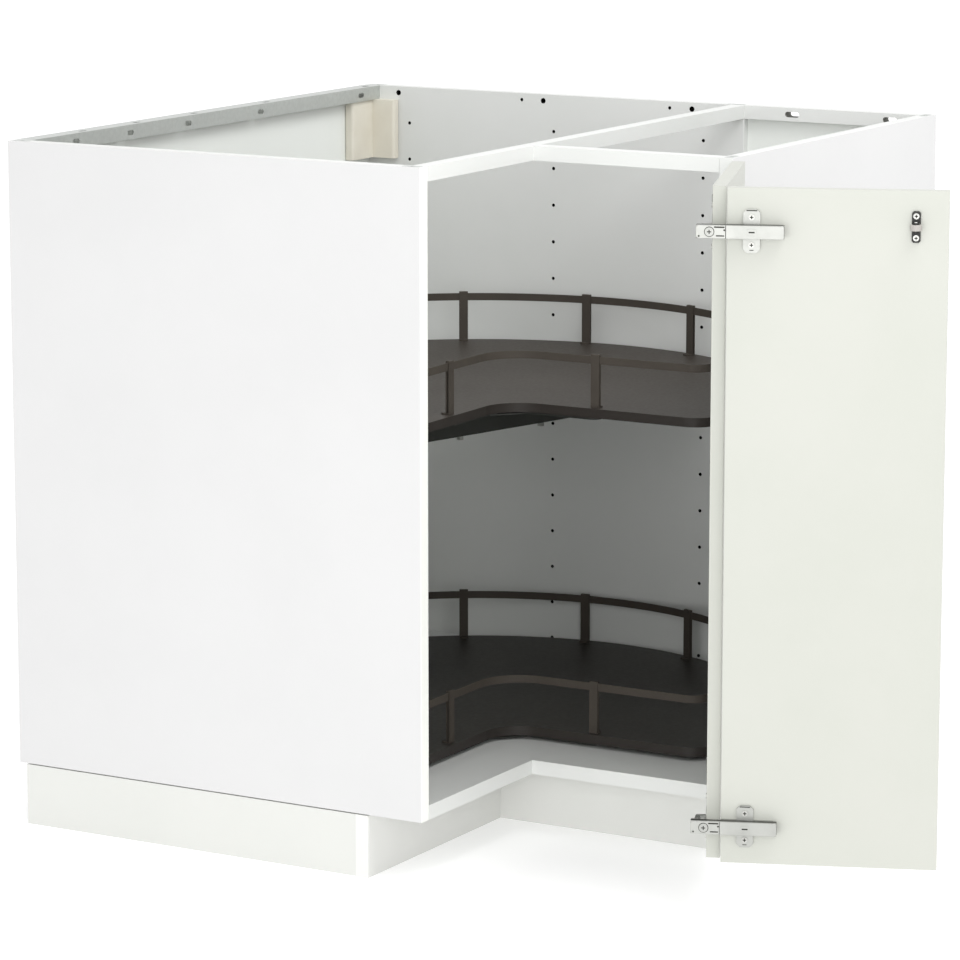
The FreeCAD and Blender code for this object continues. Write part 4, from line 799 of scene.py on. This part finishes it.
class ShadeMarks(Shape):
    """Thin dark marks of painted shade that stand for the shade in recesses, gap lines and joints, in
    millimetres.
    """

    RIM = 0.02
    LIFT = 0.01
    FINE = 0.05
    PLAIN = 0.06
    BOLD = 0.1
    CROSS_BAR = 1.2
    CROSS_CORNER = 0.1

    def line(self, at: Place, size: tuple[float, float], corner: float, thickness: float) -> None:
        """An oblong mark."""
        self.tablet(at, (*size, thickness), corner, self.RIM)

    def dot(self, at: Place, radius: float, thickness: float) -> None:
        """A round mark."""
        self.stud(at, radius, thickness, self.RIM)

    def cross(self, at: Place, reach: float) -> None:
        """The two bars of a driver's cross recess."""
        self.line(at, (2 * reach, self.CROSS_BAR), self.CROSS_CORNER, self.FINE)
        self.line(at, (self.CROSS_BAR, 2 * reach), self.CROSS_CORNER, self.FINE)


@dataclass(frozen=True)
class Cap:
    """The pressed cap over a hinge's arm with its slotted screw, in millimetres over the arm's crest."""

    foot: float = 0.05
    thickness: float = 1.1
    overhang: float = 0.4
    corner: float = 2.2
    rim: float = 0.4
    screw_along: float = 29.5
    screw_size: Place = (10.5, 7.5, 0.35)
    screw_corner: float = 1.2
    slot: tuple[float, float] = (7.0, 1.7)
    slot_corner: float = 0.5

    def screw_top(self) -> float:
        """How high the screw's face stands."""
        return self.thickness + self.screw_size[2]


@dataclass(frozen=True)
class Knuckle:
    """The face of a hinge's knuckle with its round cam and its painted shade marks, in millimetres over the
    arm's crest.
    """

    end: float = -34.3
    gap: float = 0.5
    foot: float = 0.05
    thickness: float = 0.7
    narrower: float = 0.3
    corner: float = 4.0
    rim: float = 0.3
    cam_along: float = -19.0
    collar_radius: float = 5.2
    collar_height: float = 0.9
    head_radius: float = 3.4
    head_foot: float = 1.5
    head_height: float = 0.4
    # The rest are painted shade marks: the cam's cross recess, the ring round it, lines, dots and the joint
    # before the cap.
    cross_reach: float = 2.4
    cross_foot: float = 1.92
    ring_radius: float = 5.9
    ring_foot: float = 0.72
    lines: tuple[tuple[float, ...], ...] = ((-6.5, -4.6, 9.5, 1.5, 0.5), (-7.5, 5.4, 12.0, 1.7, 0.6))
    dots: tuple[tuple[float, float], ...] = ((-1.8, 2.0), (-31.0, -5.0))
    dot_radius: float = 1.1
    joint_along: float = -0.4
    joint_foot: float = 0.2
    joint_width: float = 0.7
    joint_corner: float = 0.1

    def length(self) -> float:
        """From its round end to the gap before the cap."""
        return -self.end - self.gap

    def mark_foot(self) -> float:
        """Just above its face."""
        return self.foot + self.thickness + ShadeMarks.LIFT


@dataclass(frozen=True)
class Plate:
    """The visible painted shade marks of a hinge's mounting plate, for its screws' recesses and its gap
    lines, in millimetres over the leaf's face.
    """

    centre: float = 28.5
    face: float = 3.0
    screw_step: float = 16.0
    screw_head: float = 1.6
    cross_reach: float = 2.1
    lines: tuple[tuple[float, float, float], ...] = ((23.6, 12.5, 1.3), (-22.0, 5.0, 0.9))
    line_corner: float = 0.4


@dataclass(frozen=True)
class Catch:
    """The catch on the free edge: its pin's head and the painted shade in its screws' recesses, in
    millimetres.
    """

    along: float = 215.5
    level: float = 837.0
    face: float = 2.5
    screw_step: float = 12.5
    screw_head: float = 1.6
    cross_reach: float = 2.0
    pin_up: float = 5.6
    pin_foot: float = 10.4
    pin_size: Place = (3.2, 2.4, 0.4)
    pin_corner: float = 0.8


@dataclass
class LeafFittings:
    """What shows on the open outer leaf: caps, cams, painted shade marks and painted shade on the sides of
    its hinge arms, and the catch's details.
    """

    dresser: Dresser
    body: str = "door_b"
    start_mm: tuple[float, float] = (381.26, -415.09)
    turn_deg: float = 21.7
    levels_mm: tuple[float, float] = (127.0, 829.0)
    arm_width: float = 15.5
    arm_end: float = 66.0
    crest: float = 14.0
    shade_start_mm: float = -16.0
    cap: Cap = Cap()
    knuckle: Knuckle = Knuckle()
    plate: Plate = Plate()
    catch: Catch = Catch()

    def plane(self, level: float) -> Matrix:
        """The leaf's inner face at a height, with X along it from its hinged edge.

        Args:
            level: the height over the floor, in millimetres.

        Returns:
            Where that plane lies, in metres.
        """
        spot = Matrix.Translation(Vector((*self.start_mm, level)) * MM)
        turned = spot @ Matrix.Rotation(math.radians(self.turn_deg), 4, "Z")
        return turned @ Matrix.Rotation(math.radians(90), 4, "X")

    def build(self) -> None:
        """Makes the pieces at both hinges and at the catch."""
        self.shade_arms()
        for word, level in zip(("lower", "upper"), self.levels_mm):
            place = self.plane(level)
            self.build_cap(word, place)
            self.build_knuckle(word, place)
            self.build_shade_marks(word, place)
        self.build_catch()

    def shade_arms(self) -> None:
        """Paints shade on the arms' faces that look up beyond the knuckle or along the leaf."""
        along = self.plane(0.0).to_3x3() @ Vector((1, 0, 0))
        edge = Vector((*self.start_mm, 0.0)) * MM
        start = self.shade_start_mm * MM

        def shaded(centre: Vector, normal: Vector) -> bool:
            """Whether a face gets the painted shade."""
            looks_up = normal.z > SQUARE_ON and (centre - edge).dot(along) > start
            return looks_up or normal.dot(along) > SQUARE_ON

        # Painted shade: these faces take a dark nickel that stands for shade.
        self.dresser.face("hinge_b_arms", Trim.SHADED, shaded)

    def build_cap(self, word: str, place: Matrix) -> None:
        """Makes a hinge's cap.

        Args:
            word: which hinge.
            place: the leaf's face at the hinge.
        """
        cap = self.cap
        shape = Shape().tablet(
            ((self.arm_end + cap.overhang) / 2, 0, self.crest + cap.foot),
            (self.arm_end + cap.overhang, self.arm_width, cap.thickness), cap.corner, cap.rim, ends=(1,),
        )
        shape.tablet((cap.screw_along, 0, self.crest + cap.thickness), cap.screw_size, cap.screw_corner)
        self.dresser.add(shape, f"hinge_cap_{word}", place, self.body, Finish.NICKEL)

    def build_knuckle(self, word: str, place: Matrix) -> None:
        """Makes a hinge's knuckle face with its cam.

        Args:
            word: which hinge.
            place: the leaf's face at the hinge.
        """
        part = self.knuckle
        size = (part.length(), self.arm_width - part.narrower, part.thickness)
        middle = (part.end + part.length() / 2, 0, self.crest + part.foot)
        shape = Shape().tablet(middle, size, part.corner, part.rim, ends=(-1,))
        shape.stud((part.cam_along, 0, self.crest + part.thickness), part.collar_radius, part.collar_height)
        shape.stud((part.cam_along, 0, self.crest + part.head_foot), part.head_radius, part.head_height)
        self.dresser.add(shape, f"hinge_knuckle_{word}", place, self.body, Finish.NICKEL)

    def build_shade_marks(self, word: str, place: Matrix) -> None:
        """Makes a hinge's painted shade marks, for its recesses, gap lines and joints.

        Args:
            word: which hinge.
            place: the leaf's face at the hinge.
        """
        cap, part, plate = self.cap, self.knuckle, self.plate
        marks = ShadeMarks()
        marks.cross((part.cam_along, 0, self.crest + part.cross_foot), part.cross_reach)
        marks.dot((part.cam_along, 0, self.crest + part.ring_foot), part.ring_radius, ShadeMarks.BOLD)
        foot = self.crest + part.mark_foot()
        for along, up, length, width, corner in part.lines:
            marks.line((along, up, foot), (length, width), corner, ShadeMarks.PLAIN)
        for along, up in part.dots:
            marks.dot((along, up, foot), part.dot_radius, ShadeMarks.PLAIN)
        joint = (part.joint_width, self.arm_width - part.gap)
        marks.line((part.joint_along, 0, self.crest + part.joint_foot), joint, part.joint_corner, ShadeMarks.BOLD)
        slot_foot = self.crest + cap.screw_top() + ShadeMarks.LIFT
        marks.line((cap.screw_along, 0, slot_foot), cap.slot, cap.slot_corner, ShadeMarks.PLAIN)
        for up, length, width in plate.lines:
            at = (plate.centre, up, plate.face + ShadeMarks.LIFT)
            marks.line(at, (length, width), plate.line_corner, ShadeMarks.FINE)
        for side in (-1, 1):
            head = plate.face + plate.screw_head + ShadeMarks.LIFT
            marks.cross((plate.centre, side * plate.screw_step, head), plate.cross_reach)
        self.dresser.add(marks, f"hinge_shade_marks_{word}", place, self.body, Finish.NICKEL, Trim.RECESS)

    def build_catch(self) -> None:
        """Makes the catch's pin head and the painted shade marks in its screws' recesses."""
        part = self.catch
        place = self.plane(part.level)
        pin = Shape().tablet((part.along, part.pin_up, part.pin_foot), part.pin_size, part.pin_corner)
        self.dresser.add(pin, "catch_pin_head", place, self.body, Finish.SCREW)
        marks = ShadeMarks()
        for side in (-1, 1):
            head = part.face + part.screw_head + ShadeMarks.LIFT
            marks.cross((part.along, side * part.screw_step, head), part.cross_reach)
        self.dresser.add(marks, "catch_screw_shade_marks", place, self.body, Finish.SCREW, Trim.RECESS)


@dataclass(frozen=True)
class Lamp:
    """A square soft lamp: its place, what it looks at, its side in metres and its power in watts."""

    name: str
    place: Place
    aim: Place
    side: float
    power: float

    def build(self) -> None:
        """Hangs the lamp."""
        lamp = bpy.data.lights.new(self.name, "AREA")
        lamp.size = self.side
        lamp.energy = self.power
        holder = bpy.data.objects.new(self.name, lamp)
        bpy.context.scene.collection.objects.link(holder)
        holder.location = self.place
        look = Vector(self.aim) - Vector(self.place)
        holder.rotation_euler = look.to_track_quat("-Z", "Y").to_euler()


@dataclass
class Studio:
    """A white surround, a pale floor, soft lamps and the camera of the photograph, in metres."""

    corner: Vector
    surround: float = 1.0
    floor_half: float = 40.0
    floor_tones: tuple[float, float] = (0.93, 0.92)
    floor_cloud: float = 3.0
    floor_span: tuple[float, float] = (0.3, 0.7)
    floor_roughness: float = 0.9
    floor_glow: float = 0.25
    focal_px: float = 4315.0
    image_px: float = 960.0
    sensor_mm: float = 36.0
    yaw: float = 2.0938
    pitch: float = 0.1858
    stand: Place = (3.1993, -5.2409, 1.4596)
    sight: float = 200.0
    lamps: tuple[Lamp, ...] = (
        Lamp("front", (2.4, -3.6, 1.3), (0.0, 0.1, 0.35), side=1.6, power=37.0),
        Lamp("fill", (0.62, -3.6, 0.45), (0.1, 0.3, 0.35), side=0.8, power=10.5),
        Lamp("top", (1.3, -0.5, 2.7), (-0.3, 0.2, 0.6), side=1.2, power=28.0),
    )

    def build(self) -> None:
        """Makes the surround, the floor, the lamps and the camera."""
        self.build_surround()
        self.build_floor()
        for lamp in self.lamps:
            lamp.build()
        self.build_camera()

    def build_surround(self) -> None:
        """A plain white surround."""
        world = bpy.data.worlds.new("studio")
        world.use_nodes = True
        background = world.node_tree.nodes["Background"]
        background.inputs["Color"].default_value = (*WHITE_LIGHT, 1.0)
        background.inputs["Strength"].default_value = self.surround
        bpy.context.scene.world = world
        bpy.context.scene.view_settings.view_transform = "Standard"

    def build_floor(self) -> None:
        """A wide pale floor."""
        mesh = bpy.data.meshes.new("studio_floor")
        bm = bmesh.new()
        bmesh.ops.create_grid(bm, x_segments=1, y_segments=1, size=self.floor_half)
        bm.to_mesh(mesh)
        bm.free()
        floor = bpy.data.objects.new("studio_floor", mesh)
        bpy.context.scene.collection.objects.link(floor)
        tree = ShaderTree("pale floor")
        light, dark = ((tone, tone, tone) for tone in self.floor_tones)
        mesh.materials.append(tree.finish(
            Base_Color=tree.blend(tree.noise(self.floor_cloud).smooth(*self.floor_span), light, dark),
            Roughness=self.floor_roughness,
            Specular_IOR_Level=0.0,
            Emission_Color=WHITE_LIGHT,
            Emission_Strength=self.floor_glow,
        ))

    def build_camera(self) -> None:
        """The camera, placed from the room corner as the fit to the photograph gives."""
        data = bpy.data.cameras.new("camera")
        data.sensor_width = self.sensor_mm
        data.lens = self.focal_px / self.image_px * self.sensor_mm
        data.clip_end = self.sight
        holder = bpy.data.objects.new("camera", data)
        bpy.context.scene.collection.objects.link(holder)
        holder.location = self.corner + Vector(self.stand)
        level = math.cos(self.pitch)
        look = Vector((math.cos(self.yaw) * level, math.sin(self.yaw) * level, -math.sin(self.pitch)))
        holder.rotation_euler = look.to_track_quat("-Z", "Y").to_euler()
        bpy.context.scene.camera = holder


def main() -> None:
    """Builds the dressed cabinet and its studio, in order."""
    logging.basicConfig(level=logging.INFO, format="%(name)s: %(message)s")
    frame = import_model()
    dresser = Dresser(frame)
    dresser.dress_nodes()
    BoardFaces(dresser).build()
    LeafFittings(dresser).build()
    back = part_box("long_side_panel")
    Studio(Vector((back[0].x, back[1].y, 0.0))).build()


if __name__ == "__main__":
    main()
